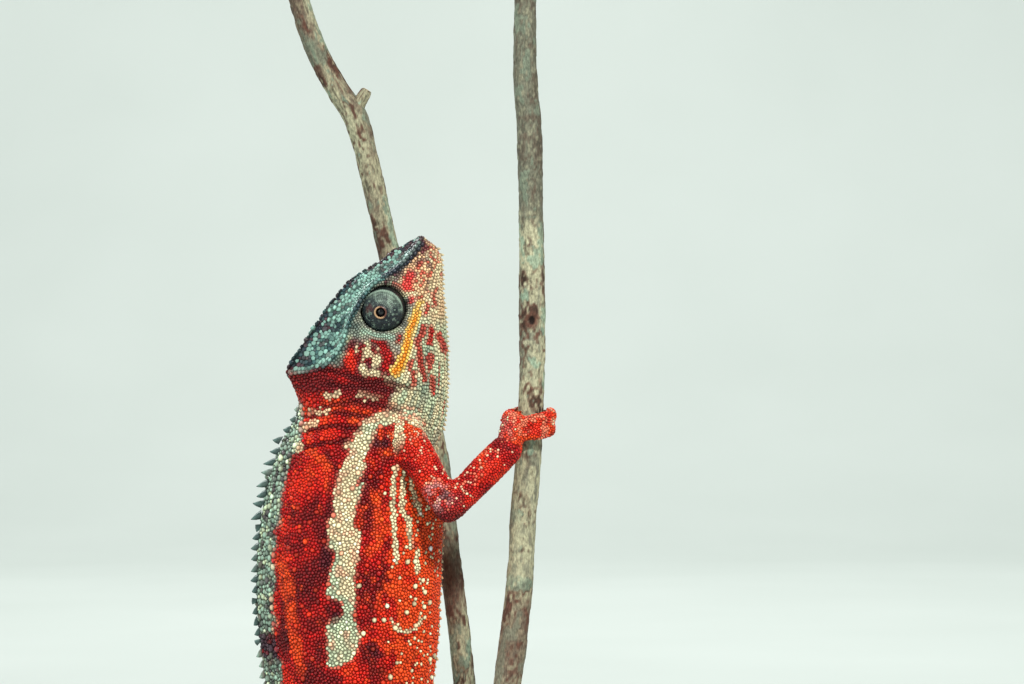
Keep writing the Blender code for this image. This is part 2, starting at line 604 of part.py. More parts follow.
def palm(name, grip, wrist, thickness):
    """The palm: a pad against the side of the stem, and a round link to it from the wrist."""
    centre, direction, radius, palm_way = grip
    pad = centre + palm_way * (radius + GAP)
    back = pad + palm_way * PALM_THICKNESS
    link_way = (back - wrist).normalized()
    across = palm_way.cross(direction)
    side = (across - link_way * across.dot(link_way)).normalized()
    up = side.cross(link_way)
    spots = [blend(wrist, back, share) + link_way * (beyond * thickness) for share, beyond, _ in LINK_SHAPE]
    rings = [circle_ring(point, side, up, thickness * size, thickness * size, LIMB_SIDES)
             for point, (_, _, size) in zip(spots, LINK_SHAPE)]
    foot = loft(name, rings, "skin")
    rings = [circle_ring(pad + palm_way * (PALM_THICKNESS * out), across, direction,
                         PALM_HALF_DEPTH * size, PALM_HALF_HEIGHT * size, LIMB_SIDES)
             for out, size in PAD_SHAPE]
    combine(foot, loft("pad", rings, "skin"), "UNION")
    return foot


def add_toes(foot, grip, limb):
    """Join the toes of both bundles to the palm."""
    bundles = ((limb["outer_turn"], limb["outer_toes"], 0.0),
               (-limb["outer_turn"], limb["inner_toes"], INNER_TOES_LOWER))
    for turn, count, drop in bundles:
        for i in range(count):
            off_middle = i - (count - 1) / 2
            root = off_middle * TOE_SPACING - drop
            tip = off_middle * TOE_SPACING * TOE_SPREAD + limb["rise"] - drop
            sweep = (TOE_SWEEP[0] + TOE_STAGGER * i,
                     TOE_SWEEP[1] - SIDE_TOE_SHORTER * abs(off_middle) + TOE_STAGGER * i / 2)
            combine(foot, toe(grip, sweep, turn, root, tip), "UNION")


def build_foot(limb, pair_name, side_name, palm_back, shin_way):
    """Palm and toes as one body, then parted into the foot and its two bundles of toes."""
    grip = grip_of(limb)
    centre, direction, _, palm_way = grip
    wrist = Vector(limb["end"])
    foot = palm(pair_name + "foot_" + side_name, grip, wrist, limb["thickness"])
    add_toes(foot, grip, limb)
    outer_way = direction.cross(palm_way) * limb["outer_turn"]
    for bundle, way in (("outer_toes", outer_way), ("inner_toes", -outer_way)):
        toes = copy_of(foot, pair_name + "_" + bundle + "_" + side_name)
        keep_side(toes, centre - palm_way * (TOE_PARTING + GAP / 2), palm_way)
        keep_side(toes, centre, -way)
    keep_side(foot, centre - palm_way * (TOE_PARTING - GAP / 2), -palm_way)
    part_at_joint(foot, wrist, shin_way, palm_back - wrist, False)


def build_limb(limb_name, limb):
    kind, side = limb_name.split("_")
    upper_name, lower_name, pair_name = SEGMENT_NAMES[kind]
    root, middle, end = (Vector(limb[key]) for key in ("root", "middle", "end"))
    upper = domed_tube(upper_name + "_" + side, root, middle, UPPER_SHAPE, limb["thickness"])
    combine(upper, body_cutter(*(ARM_CLEARS if kind == "arm" else LEG_CLEARS)), "DIFFERENCE")
    part_at_joint(upper, middle, middle - root, end - middle, True)
    lower = domed_tube(lower_name + "_" + side, middle, end, LOWER_SHAPE, limb["thickness"])
    part_at_joint(lower, middle, middle - root, end - middle, False)
    centre, _, radius, palm_way = grip_of(limb)
    palm_back = centre + palm_way * (radius + GAP + PALM_THICKNESS)
    part_at_joint(lower, end, end - middle, palm_back - end, True)
    build_foot(limb, pair_name, side, palm_back, end - middle)


# ================================================================ stems and stand
def tube(name, points, radii, material_name):
    """A round tube along a path, made from a bevelled curve and turned into one closed mesh."""
    curve = bpy.data.curves.new(name, "CURVE")
    curve.dimensions = "3D"
    curve.bevel_depth = MM
    curve.bevel_resolution = 2
    curve.use_fill_caps = True
    spline = curve.splines.new("POLY")
    spline.points.add(len(points) - 1)
    for spot, point, radius in zip(spline.points, points, radii):
        spot.co = (*(point * MM), 1.0)
        spot.radius = radius
    guide = bpy.data.objects.new(name + "_curve", curve)
    bpy.data.collections[COLLECTION].objects.link(guide)
    depsgraph = bpy.context.evaluated_depsgraph_get()
    depsgraph.update()
    mesh = bpy.data.meshes.new_from_object(guide.evaluated_get(depsgraph))
    bpy.data.objects.remove(guide)
    bm = bmesh.new()
    bm.from_mesh(mesh)
    bmesh.ops.remove_doubles(bm, verts=bm.verts, dist=1e-7)
    bmesh.ops.recalc_face_normals(bm, faces=bm.faces)
    bm.to_mesh(mesh)
    bm.free()
    return add_object(name, mesh, material_name)


def build_stem(name, route):
    low, high = route[0][2], route[-1][2]
    heights = [blend(low, high, i / STEM_RINGS) for i in range(STEM_RINGS + 1)]
    spots = [stem_at(route, height) for height in heights]
    return tube(name, [spot[0] for spot in spots], [spot[2] for spot in spots], "bark")


def build_stems():
    build_stem("perch_stem_front", FRONT_STEM)
    back = build_stem("perch_stem_back", BACK_STEM)
    foot, tip, radius = TWIG_STUB
    points = [blend(foot, tip, share) for share in (0.0, 0.5, 1.0)]
    combine(back, tube("twig_stub", points, (radius * 1.5, radius * 1.1, radius), "bark"), "UNION")


def build_base():
    width, depth, height = (length * MM for length in BASE_SIZE)
    bpy.ops.mesh.primitive_cube_add(size=1.0)
    cube = bpy.context.object
    cube.data.transform(Matrix.Translation((0.0, 0.0, height / 2))
                        @ Matrix.Diagonal((width, depth, height, 1.0)))
    base = add_object("stand_base", cube.data, "base")
    bpy.data.objects.remove(cube)
    bevel = base.modifiers.new("edge", "BEVEL")
    bevel.width = BASE_EDGE * MM
    bevel.segments = 2


def build_rod(name, route):
    """A turned rod with a foot on the base and a cup that holds the stem's cut end."""
    x, y, stem_foot, stem_radius = route[0]
    floor, rim = stem_foot - GAP, stem_foot + CUP_DEPTH
    bore = stem_radius + GAP
    outside = bore + CUP_WALL
    seat = BASE_SIZE[2] + GAP
    profile = ((0.0, floor), (bore, floor), (bore, rim), (outside - 0.5, rim), (outside, rim - 0.5),
               (outside, floor - 1.5), (ROD_RADIUS, floor - 4.0), (ROD_RADIUS, seat + 4.5),
               (ROD_FOOT_RADIUS - 1.0, seat + 2.5), (ROD_FOOT_RADIUS, seat + 1.5),
               (ROD_FOOT_RADIUS, seat), (0.0, seat))
    rod = screwed(name, profile, "rod", ROD_SIDES)
    rod.location = (x * MM, y * MM, 0.0)


# ================================================================ the whole part
def clear_scene():
    for old in list(bpy.data.objects):
        bpy.data.objects.remove(old)
    made = bpy.data.collections.new(COLLECTION)
    bpy.context.scene.collection.children.link(made)


def build():
    clear_scene()
    build_base()
    build_rod("stand_rod_front", FRONT_STEM)
    build_rod("stand_rod_back", BACK_STEM)
    build_stems()
    build_head()
    build_eye("right", EYE_PLACE[2], RIGHT_GAZE)
    build_eye("left", -EYE_PLACE[2], LEFT_GAZE)
    build_neck_and_trunk()
    build_tail()
    for limb_name, limb in LIMBS.items():
        build_limb(limb_name, limb)


build()
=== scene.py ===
"""Looks of the panther chameleon model: one skin under solid scales, eyes, claws, stems and stand.

Lengths are millimetres in the frame's own axes (+Z up, the belly faces +X, the right side faces
-Y), and MM turns them into metres where a mesh is made. Colours are named as sRGB values.
"""
import math

import bmesh
import bpy
import numpy as np
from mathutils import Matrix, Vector
from mathutils.bvhtree import BVHTree
from mathutils.kdtree import KDTree


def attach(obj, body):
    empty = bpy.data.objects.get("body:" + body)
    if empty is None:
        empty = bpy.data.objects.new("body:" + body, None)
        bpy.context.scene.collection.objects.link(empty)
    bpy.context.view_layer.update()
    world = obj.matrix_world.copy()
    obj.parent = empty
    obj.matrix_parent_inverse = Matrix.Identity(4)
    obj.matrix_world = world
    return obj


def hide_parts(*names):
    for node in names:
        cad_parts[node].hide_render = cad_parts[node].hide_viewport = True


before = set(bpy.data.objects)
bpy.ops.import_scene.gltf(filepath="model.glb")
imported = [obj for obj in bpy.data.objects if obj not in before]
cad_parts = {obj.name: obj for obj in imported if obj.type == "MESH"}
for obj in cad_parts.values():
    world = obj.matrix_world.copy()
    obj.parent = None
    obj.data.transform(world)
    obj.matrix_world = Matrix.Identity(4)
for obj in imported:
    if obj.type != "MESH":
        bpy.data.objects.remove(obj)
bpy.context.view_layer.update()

MM = 0.001
RANDOM = np.random.default_rng(11)

# ---------------------------------------------------------------- camera
CAMERA_PLACE = (27.7, -900.0, 253.6)
VIEW_WIDTH = 265.3
SENSOR_WIDTH = 36.0

# ---------------------------------------------------------------- skin
GROW_TO_JOIN = 0.25
COAT_DEPTH = 0.36
VOXEL = 0.6
SMOOTH_ROUNDS = 46
# Share of the markings' colour left in the bare skin between scales: partly its own darker colour, partly
# painted shade in the grooves.
BARE_SKIN_SHARE = 0.34
FOOT_SHARPENING = 0.8
SMOOTHING = {"head": 0.22, "body": 1.0, "limb": 0.55, "foot": 0.16, "tail": 0.4}

# ---------------------------------------------------------------- head frame
# Head places are (ahead, up, out): ahead of the mouth corner along the jaw, up, out to the side.
MOUTH_CORNER = np.array((-1.3, 0.0, 244.3))
HEAD_LEAN = math.radians(17.7)
HEAD_ROLL = math.radians(8.0)
ROLL_STARTS, ROLL_IS_FULL = -14.8, -3.0
AHEAD = np.array((math.sin(HEAD_LEAN), 0.0, math.cos(HEAD_LEAN)))
DORSAL = np.array((-math.cos(HEAD_LEAN), 0.0, math.sin(HEAD_LEAN)))
RIGHT = np.array((0.0, -1.0, 0.0))
CREST = ((-14.8, 20.4, 4.4), (-11.8, 23.0, 2.8), (-7.8, 27.2, 1.5), (-4.6, 21.8, 5.2),
         (-1.4, 19.5, 6.8), (3.0, 17.9, 8.0), (9.5, 18.0, 8.8), (15.0, 16.9, 9.0), (20.7, 15.0, 8.1),
         (25.7, 10.6, 6.1), (30.8, 7.8, 4.8), (35.0, 6.2, 3.4), (37.3, 6.3, 0.8))
CROWN = ((-14.8, 23.3), (-7.8, 29.0), (2.9, 26.4), (12.6, 23.4), (20.9, 20.2), (27.4, 14.8),
         (30.8, 13.1), (34.0, 9.8), (37.3, 6.5))
LIP_OUT = ((-10.0, 11.3), (0.0, 11.9), (5.0, 11.5), (15.0, 8.8), (21.0, 7.6), (28.0, 6.4), (33.0, 4.9),
           (36.5, 2.0))
MOUTH_LINE = 0.1
EYE_PLACE = (15.65, 10.2, 6.4)
TURRET_RADIUS = 5.7
TURRET_SPAN = math.radians(128.0)
EYEBALL_RADIUS = 3.8
EYEBALL_FORWARD = 1.0
GAZE = {"right": Vector((-0.11, -1.0, -0.165)).normalized(),
        "left": Vector((0.22, 1.0, 0.10)).normalized()}
NOSTRIL = (31.0, 4.7, 4.9)
SIDE_SIGNS = (("right", 1.0), ("left", -1.0))
# The turret's brown patch: (up, ahead, half width) in angles from the eye's axis.
TURRET_PATCH = ((0.32, 0.02, 0.10), (0.50, 0.24, 0.12), (0.62, -0.05, 0.05))

# ---------------------------------------------------------------- trunk
# The back's and belly's outline keyed by height.
BACK_LINE = ((115.2, -20.4), (130.0, -26.4), (150.0, -33.5), (172.0, -37.6), (190.0, -39.0),
             (206.0, -38.0), (224.5, -34.0), (237.3, -28.0), (244.0, -27.0))
BELLY_LINE = ((115.2, -5.2), (130.0, -0.4), (150.0, 5.4), (172.0, 8.8), (190.0, 9.8), (206.0, 10.6),
              (219.5, 10.4), (232.0, 8.6), (244.0, 10.0))
SPINE_SPACING = 2.75
SPINE_HEIGHT = ((100.0, 0.8), (130.0, 1.0), (190.0, 1.2), (203.0, 1.6), (215.0, 2.4), (226.0, 2.2),
                (233.0, 1.1), (237.0, 0.8))
VENT_HEIGHT = 115.2

# ---------------------------------------------------------------- tail
TAIL_APPROACH = ((0.0, -12.8, 0.0, 115.2), (10.0, -12.7, 0.1, 105.2), (19.5, -10.0, 1.2, 96.2),
                 (29.0, -3.8, 3.4, 89.4), (38.3, 4.2, 6.8, 86.0), (47.5, 12.6, 10.6, 84.4))
TAIL_RADIUS = ((0.0, 7.3), (14.0, 6.9), (30.0, 5.6), (57.0, 4.3), (100.0, 3.1), (140.0, 2.1),
               (170.0, 1.45), (186.0, 1.0))
TAIL_LENGTH = 186.0
COIL_AXIS = np.array((19.5, 22.0, 0.0))
COIL_STEM_RADIUS = 3.3
COIL_START_ANGLE = math.radians(-76.0)
COIL_START_HEIGHT = 83.8
COIL_STEP = math.radians(12.0)
COIL_GAP, COIL_CLEARANCE = 0.3, 0.8

# ---------------------------------------------------------------- limbs and stems
# Each limb's root, middle joint and wrist or ankle, and the stem that its foot grips.
LIMBS = {
    "arm_right": ((-0.5, -8.8, 231.0), (11.7, -17.5, 211.4), (27.0, -12.4, 226.9), "front"),
    "arm_left": ((-2.9, 9.5, 230.5), (-2.0, 26.5, 212.8), (-5.2, 23.8, 239.6), "back"),
    "leg_right": ((-9.0, -6.8, 128.0), (3.0, -20.5, 143.0), (13.0, -9.6, 133.0), "front"),
    "leg_left": ((-8.5, 6.6, 128.0), (-1.0, 26.6, 136.0), (10.6, 23.6, 119.6), "back"),
}
LIMB_NODES = {"arm": ("upper_arm_", "forearm_", "fore"), "leg": ("thigh_", "shin_", "hind")}
FRONT_STEM = ((20.0, -6.0, 40.0, 4.0), (20.0, -6.0, 78.0, 3.9), (20.0, -6.0, 110.0, 3.85),
              (21.0, -6.0, 132.0, 3.75), (23.8, -5.6, 150.0, 3.7), (26.5, -5.0, 165.5, 3.66),
              (28.5, -5.0, 181.0, 3.6), (29.4, -5.0, 189.2, 3.55), (30.1, -5.0, 197.4, 3.5),
              (30.7, -5.0, 210.1, 3.5), (31.7, -5.0, 220.9, 3.4), (32.9, -5.0, 245.1, 3.3),
              (32.9, -5.0, 259.5, 3.5), (32.6, -5.0, 286.6, 3.2), (32.1, -5.0, 308.5, 3.25),
              (31.1, -5.0, 321.1, 3.15), (31.0, -5.0, 334.0, 2.9), (31.1, -5.0, 348.0, 2.8))
BACK_STEM = ((19.5, 22.0, 40.0, 3.3), (19.5, 22.0, 76.0, 3.2), (19.3, 22.0, 100.0, 3.2),
             (18.9, 22.0, 118.0, 3.15), (17.6, 22.0, 140.0, 3.1), (15.1, 22.0, 162.8, 3.05),
             (13.4, 22.0, 178.8, 3.0), (10.2, 22.0, 203.7, 3.0), (7.8, 22.0, 223.6, 2.95),
             (1.3, 22.0, 251.0, 2.95), (-5.7, 22.0, 280.7, 2.95), (-11.3, 22.0, 304.8, 3.1),
             (-14.1, 22.0, 313.6, 3.4), (-18.1, 22.0, 319.7, 3.1), (-24.3, 22.0, 331.1, 2.9),
             (-29.9, 22.0, 348.0, 2.8))
STEMS = {"front": FRONT_STEM, "back": BACK_STEM}
TWIG_STUB = (np.array((-14.6, 22.0, 314.0)), np.array((-10.6, 21.4, 320.4)), 1.5)


# ================================================================ numbers
def unit(vectors):
    """Vectors made one long."""
    return vectors / np.maximum(np.linalg.norm(vectors, axis=-1, keepdims=True), 1e-9)


def smooth_step(low, high, values):
    """0 below low, 1 above high, and a smooth climb between them."""
    t = np.clip((values - low) / (high - low), 0.0, 1.0)
    return t * t * (3.0 - 2.0 * t)


def keyed(rows, keys):
    """Values at keys on a smooth curve through rows of (key, value, ...), held level past its ends."""
    table = np.asarray(rows, float)
    knots, values = table[:, 0], table[:, 1:]
    before = np.maximum(np.arange(len(knots)) - 1, 0)
    after = np.minimum(np.arange(len(knots)) + 1, len(knots) - 1)
    slopes = (values[after] - values[before]) / (knots[after] - knots[before])[:, None]
    keys = np.clip(np.atleast_1d(np.asarray(keys, float)), knots[0], knots[-1])
    i = np.clip(np.searchsorted(knots, keys, side="right") - 1, 0, len(knots) - 2)
    span = (knots[i + 1] - knots[i])[:, None]
    t = (keys - knots[i])[:, None] / span
    return (values[i] * (1 - t) ** 2 * (1 + 2 * t) + values[i + 1] * t * t * (3 - 2 * t)
            + slopes[i] * span * t * (1 - t) ** 2 - slopes[i + 1] * span * t * t * (1 - t))


def noise(points, size, seed):
    """Smooth noise from -1 to 1 over points in space, whose lumps are about size across."""
    q = points / size + seed * 17.31
    cell = np.floor(q).astype(np.int64)
    f = q - cell
    f = f * f * (3.0 - 2.0 * f)
    total = np.zeros(len(points))
    for corner in range(8):
        step = np.array((corner & 1, corner >> 1 & 1, corner >> 2 & 1))
        c = cell + step
        code = c[:, 0] * 73856093 ^ c[:, 1] * 19349663 ^ c[:, 2] * 83492791 ^ seed * 668265263
        code = (code ^ (code >> 13)) * 1274126177 & 0x7FFFFFFF
        value = (code >> 7) % 65536 / 32767.5 - 1.0
        total += value * np.prod(np.where(step, f, 1.0 - f), axis=1)
    return total


def rough_noise(points, size, seed):
    """Noise with finer lumps on it."""
    return (noise(points, size, seed) + 0.5 * noise(points, size / 2.1, seed + 1)
            + 0.25 * noise(points, size / 4.3, seed + 2)) / 1.4


def full_turn(count):
    """Angles evenly round a circle."""
    return np.linspace(0.0, 2 * math.pi, count, endpoint=False)


def turned(angles, first, second):
    """Directions at angles that run from one way toward another."""
    return np.cos(angles)[:, None] * first + np.sin(angles)[:, None] * second


def lengths_along(line):
    """Distance along a line to each of its points. Steps to a missing point count as none."""
    steps = np.linalg.norm(np.diff(line, axis=0), axis=1)
    return np.concatenate(([0.0], np.cumsum(np.where(np.isfinite(steps), steps, 0.0))))


def points_along(line, lengths, marks):
    """Points of a line at some distances along it."""
    return np.stack([np.interp(marks, lengths, line[:, axis]) for axis in range(3)], axis=1)


def point_tree(points):
    """A search tree over points."""
    tree = KDTree(len(points))
    for i, point in enumerate(points):
        tree.insert(point, i)
    tree.balance()
    return tree


def line_distance(places, line):
    """Distance from flat places to a line of (x, y, half width) rows, less its half width."""
    rows = np.asarray(line, float)
    best = np.full(len(places), 1e9)
    for start, stop in zip(rows[:-1], rows[1:]):
        way = stop[:2] - start[:2]
        t = np.clip((places - start[:2]) @ way / max(way @ way, 1e-9), 0.0, 1.0)
        gap = np.linalg.norm(places - start[:2] - t[:, None] * way, axis=1)
        best = np.minimum(best, gap - (start[2] + (stop[2] - start[2]) * t))
    return best


def to_head(points):
    """Head places (ahead, up, out) of points in space."""
    offset = points - MOUTH_CORNER
    ahead = offset @ AHEAD
    roll = HEAD_ROLL * np.clip((ahead - ROLL_STARTS) / (ROLL_IS_FULL - ROLL_STARTS), 0.0, 1.0)
    dorsal, right = offset @ DORSAL, offset @ RIGHT
    up = dorsal * np.cos(roll) + right * np.sin(roll)
    out = right * np.cos(roll) - dorsal * np.sin(roll)
    return np.stack((ahead, up, out), axis=1)


def from_head(places):
    """Points in space of head places."""
    places = np.atleast_2d(np.asarray(places, float))
    ahead, up, out = places.T
    roll = HEAD_ROLL * np.clip((ahead - ROLL_STARTS) / (ROLL_IS_FULL - ROLL_STARTS), 0.0, 1.0)
    dorsal = up * np.cos(roll) - out * np.sin(roll)
    right = up * np.sin(roll) + out * np.cos(roll)
    return MOUTH_CORNER + ahead[:, None] * AHEAD + dorsal[:, None] * DORSAL + right[:, None] * RIGHT


def eye_middle(sign):
    """Middle of the right eye's turret for sign 1, and of the left one's for -1."""
    return from_head((EYE_PLACE[0], EYE_PLACE[1], sign * EYE_PLACE[2]))[0]


def stem_at(route, heights):
    """Middle points, directions and radii of a stem at some heights."""
    rows = [(row[2], *row) for row in route]
    values, above, below = keyed(rows, heights), keyed(rows, heights + 2.0), keyed(rows, heights - 2.0)
    return values[:, :3], unit(above[:, :3] - below[:, :3]), values[:, 3]


def tail_route():
    """Rows of (distance from the vent, x, y, z) down the tail's middle line."""
    rows = list(TAIL_APPROACH)
    angle, height, distance = COIL_START_ANGLE, COIL_START_HEIGHT, TAIL_APPROACH[-1][0]
    last = np.array(TAIL_APPROACH[-1][1:])
    while distance < TAIL_LENGTH:
        thickness = keyed(TAIL_RADIUS, distance)[0, 0]
        reach = COIL_STEM_RADIUS + COIL_GAP + thickness
        point = COIL_AXIS + np.array((math.cos(angle) * reach, math.sin(angle) * reach, height))
        distance += np.linalg.norm(point - last)
        rows.append((distance, *point))
        last = point
        angle += COIL_STEP
        height -= (2 * thickness + COIL_CLEARANCE) * COIL_STEP / (2 * math.pi)
    return rows


# ================================================================ colours
def linear(colour):
    """A shader colour from an sRGB one."""
    c = np.asarray(colour, float)
    return np.where(c <= 0.04045, c / 12.92, ((c + 0.055) / 1.055) ** 2.4)


RED = linear((0.70, 0.045, 0.03))
RED_BRIGHT = linear((0.86, 0.15, 0.05))
RED_DARK = linear((0.47, 0.03, 0.04))
MAROON = linear((0.38, 0.02, 0.05))
PURPLE = linear((0.23, 0.05, 0.10))
ORANGE = linear((0.95, 0.29, 0.08))
CREAM = linear((0.90, 0.83, 0.66))
CREAM_GREEN = linear((0.74, 0.80, 0.66))
MINT = linear((0.58, 0.70, 0.62))
GREY_GREEN = linear((0.47, 0.54, 0.48))
GREY_PURPLE = linear((0.26, 0.18, 0.22))
CASQUE_TEAL = linear((0.27, 0.42, 0.41))
CASQUE_PALE = linear((0.55, 0.72, 0.66))
CASQUE_DARK = linear((0.12, 0.16, 0.20))
CASQUE_WINE = linear((0.33, 0.20, 0.23))
CHEEK_GREY = linear((0.60, 0.60, 0.53))
SNOUT_CREAM = linear((0.88, 0.71, 0.54))
PINK_RED = linear((0.84, 0.16, 0.17))
WORN_PINK = linear((0.76, 0.55, 0.54))
# Pale pink beads of the limbs: partly real pale beads, partly painted highlights.
PINK_BEAD_AND_GLINT = linear((0.94, 0.70, 0.57))
LIP_ORANGE = linear((0.97, 0.55, 0.10))
LIP_YELLOW = linear((0.95, 0.76, 0.38))
NEAR_BLACK = linear((0.07, 0.08, 0.11))
# The turret's pale and dark tones: partly its own colour, partly painted light above and painted shade below.
TURRET_PALE = linear((0.50, 0.58, 0.52))
TURRET_DARK = linear((0.17, 0.21, 0.23))
TURRET_BROWN = linear((0.32, 0.17, 0.16))
LID_BEIGE = linear((0.80, 0.66, 0.50))
IRIS_GOLD = linear((0.34, 0.21, 0.10))
HORN_PALE = linear((0.62, 0.52, 0.44))
HORN_DARK = linear((0.16, 0.12, 0.12))
BARK_PALE = linear((0.70, 0.69, 0.57))
BARK_GREY = linear((0.50, 0.50, 0.43))
BARK_BROWN = linear((0.40, 0.27, 0.22))
BARK_DARK = linear((0.21, 0.15, 0.12))
LICHEN = linear((0.60, 0.72, 0.62))
WOOD_PALE = linear((0.82, 0.70, 0.50))
WOOD_DARK = linear((0.56, 0.42, 0.27))
FLANK_PINK = linear((0.90, 0.62, 0.50))
BAND_EDGE = linear((0.85, 0.50, 0.40))
FOOT_BEAD = linear((0.92, 0.55, 0.42))
WRIST_WORN = linear((0.58, 0.27, 0.30))
# Colour of the painted highlights (glints) on the limbs' scales.
LIMB_GLINT = linear((0.93, 0.50, 0.38))
GROUND_BROWN = linear((0.40, 0.17, 0.12))
SPINE_DARK = linear((0.34, 0.44, 0.42))
SPINE_PALE = linear((0.60, 0.70, 0.64))
CONE_ORANGE = linear((0.93, 0.60, 0.42))
STAIN_DARK = linear((0.17, 0.11, 0.08))
STAIN_PALE = linear((0.38, 0.26, 0.18))
METAL_DARK = linear((0.22, 0.22, 0.23))
METAL_PALE = linear((0.40, 0.40, 0.41))


def mixed(base, colour, weight):
    """Rows of colour: a base, or rows of it, with another colour laid over by weight."""
    return base + (colour - base) * np.clip(weight, 0.0, 1.0)[:, None]


def layered(colour, *layers):
    """Rows of colour with others laid over in turn, each given as (colour, weight)."""
    for over, weight in layers:
        colour = mixed(colour, over, weight)
    return colour


# ---------------------------------------------------------------- markings of the trunk
# Lines of (x, z, half width) on the flanks.
FLANK_BAND = ((3.2, 234.6, 1.3), (-2.0, 235.0, 1.5), (-6.5, 233.6, 1.9), (-9.0, 232.0, 2.2),
              (-11.5, 227.8, 2.5), (-12.5, 223.0, 2.4), (-14.0, 219.9, 2.8), (-14.9, 217.0, 2.5),
              (-15.1, 214.0, 3.3), (-15.6, 210.3, 3.1), (-16.6, 206.0, 3.5), (-16.0, 202.6, 4.4),
              (-15.2, 199.0, 3.0), (-16.1, 194.5, 3.3), (-16.7, 190.2, 3.9), (-14.8, 187.0, 2.1),
              (-14.2, 184.1, 1.4), (-15.2, 182.3, 1.1))
FLANK_BRANCH = ((-12.6, 214.6, 0.9), (-11.4, 216.4, 0.7))
FLANK_FORK = ((-12.0, 227.3, 1.3), (-14.9, 226.9, 1.0))
FLANK_BLOBS = (((-14.7, 180.6, 2.4), (-16.1, 178.0, 4.4), (-16.6, 174.5, 4.2), (-18.4, 170.8, 1.8)),
               ((-15.0, 161.0, 2.8), (-15.8, 155.0, 3.6), (-15.2, 150.5, 2.2)),
               ((-12.6, 142.0, 1.8), (-13.2, 136.5, 3.0), (-12.8, 132.0, 1.6)),
               ((-11.0, 124.5, 1.2), (-11.4, 120.5, 2.0)))
ARMPIT_PATCH = ((-1.4, 232.6, 1.0), (-1.5, 228.5, 1.5), (-1.8, 224.5, 0.8))
ARMPIT_LINES = (((1.4, 233.2, 0.7), (4.0, 232.2, 0.9), (5.8, 229.8, 0.5)),
                ((-2.4, 221.0, 0.5), (-3.0, 216.0, 0.75), (-3.2, 211.0, 0.7), (-2.8, 204.0, 0.6),
                 (-2.2, 197.0, 0.5)),
                ((-0.5, 220.5, 0.4), (-0.6, 215.5, 0.6), (-1.0, 210.4, 0.7), (1.0, 207.6, 0.7),
                 (1.3, 200.5, 0.6)),
                ((1.0, 220.0, 0.3), (1.9, 214.7, 0.6), (3.4, 212.0, 0.6), (4.0, 208.4, 0.5)),
                ((3.2, 200.0, 0.5), (3.0, 194.0, 0.6)))
NECK_PATCHES = (((-11.6, 239.9, 0.7), (-9.4, 239.7, 1.2), (-7.0, 239.9, 0.7)),
                ((-21.2, 239.6, 0.2), (-17.6, 240.4, 0.45)),
                ((-0.8, 239.6, 0.6), (2.2, 238.8, 1.0)),
                ((-25.6, 235.3, 0.4), (-20.8, 235.6, 0.5)),
                ((-26.0, 231.6, 0.9), (-23.0, 232.6, 0.6)),
                ((-30.6, 225.8, 0.9), (-27.6, 226.0, 0.9)))
# Creases of the neck and cheek: cut into the skin, and painted dark along them as painted shade.
NECK_FOLDS = (((-8.0, 240.4, 0.4), (-3.3, 239.3, 0.7), (1.6, 237.6, 0.5)),
              ((-22.0, 236.6, 0.2), (-13.7, 238.3, 0.4), (-6.8, 237.3, 0.5), (-1.5, 235.9, 0.4)),
              ((-25.8, 234.1, 0.2), (-17.2, 235.3, 0.3), (-10.2, 234.1, 0.3)),
              ((-25.8, 230.3, 0.2), (-18.9, 232.0, 0.3), (-12.0, 231.0, 0.3)),
              ((-25.8, 226.2, 0.2), (-20.6, 227.5, 0.3), (-15.1, 227.9, 0.3)))
CHEEK_FOLDS = (((-23.5, 247.0, 0.1), (-14.2, 244.7, 0.3), (-9.7, 243.0, 0.4), (-4.4, 243.2, 0.3),
                (0.9, 241.7, 0.2)),
               ((-21.0, 242.6, 0.1), (-13.5, 241.9, 0.25), (-7.2, 241.4, 0.3), (-1.6, 240.8, 0.1)))
# Single pale beads, purple blots at the band's back edge and orange streaks before the dorsal band.
PALE_BEADS = ((-11.3, 191.5), (-4.2, 186.2), (-7.4, 182.7), (-5.0, 182.7), (-2.2, 180.6), (-10.2, 179.4),
              (0.9, 197.3), (2.8, 197.3), (2.8, 191.0), (4.7, 192.4), (5.2, 189.3), (2.6, 186.5),
              (5.0, 185.5), (6.4, 186.5), (0.7, 184.4), (6.4, 171.8), (7.5, 172.6), (6.8, 166.9),
              (6.6, 200.5), (-3.4, 168.0), (2.0, 160.0), (5.2, 154.0), (-4.0, 150.0), (1.5, 143.0))
PURPLE_BLOTS = (((-20.4, 199.6, 0.9), (-20.7, 196.4, 1.2)), ((-17.4, 182.4, 1.0), (-18.8, 181.0, 0.8)),
                ((-8.8, 174.8, 1.2), (-7.4, 172.4, 1.1)),
                ((-8.0, 227.6, 1.0), (-4.6, 227.4, 0.8)))
DARK_PATCHES = (((-20.4, 224.0, 0.8), (-17.4, 220.4, 1.4), (-18.8, 214.0, 0.8), (-20.2, 207.0, 0.6)),
                ((-29.0, 210.8, 0.9), (-28.6, 207.4, 0.8)), ((-30.4, 202.6, 0.8), (-29.2, 200.6, 1.2)),
                ((-24.6, 196.4, 1.4), (-25.4, 191.4, 1.8), (-24.6, 186.0, 1.4)),
                ((-18.6, 186.0, 1.2), (-19.4, 182.6, 1.6), (-24.0, 180.2, 1.6)),
                ((-31.2, 180.8, 1.2), (-31.8, 176.6, 1.6)),
                ((-20.4, 166.6, 1.2), (-17.4, 165.8, 1.2)), ((-28.2, 168.6, 0.9), (-26.4, 166.2, 1.2)),
                ((-10.6, 173.6, 1.6), (-7.4, 171.0, 2.4), (-7.0, 166.0, 1.6)),
                ((-5.6, 223.0, 0.3), (-7.6, 215.0, 0.6), (-8.4, 206.0, 0.4)))
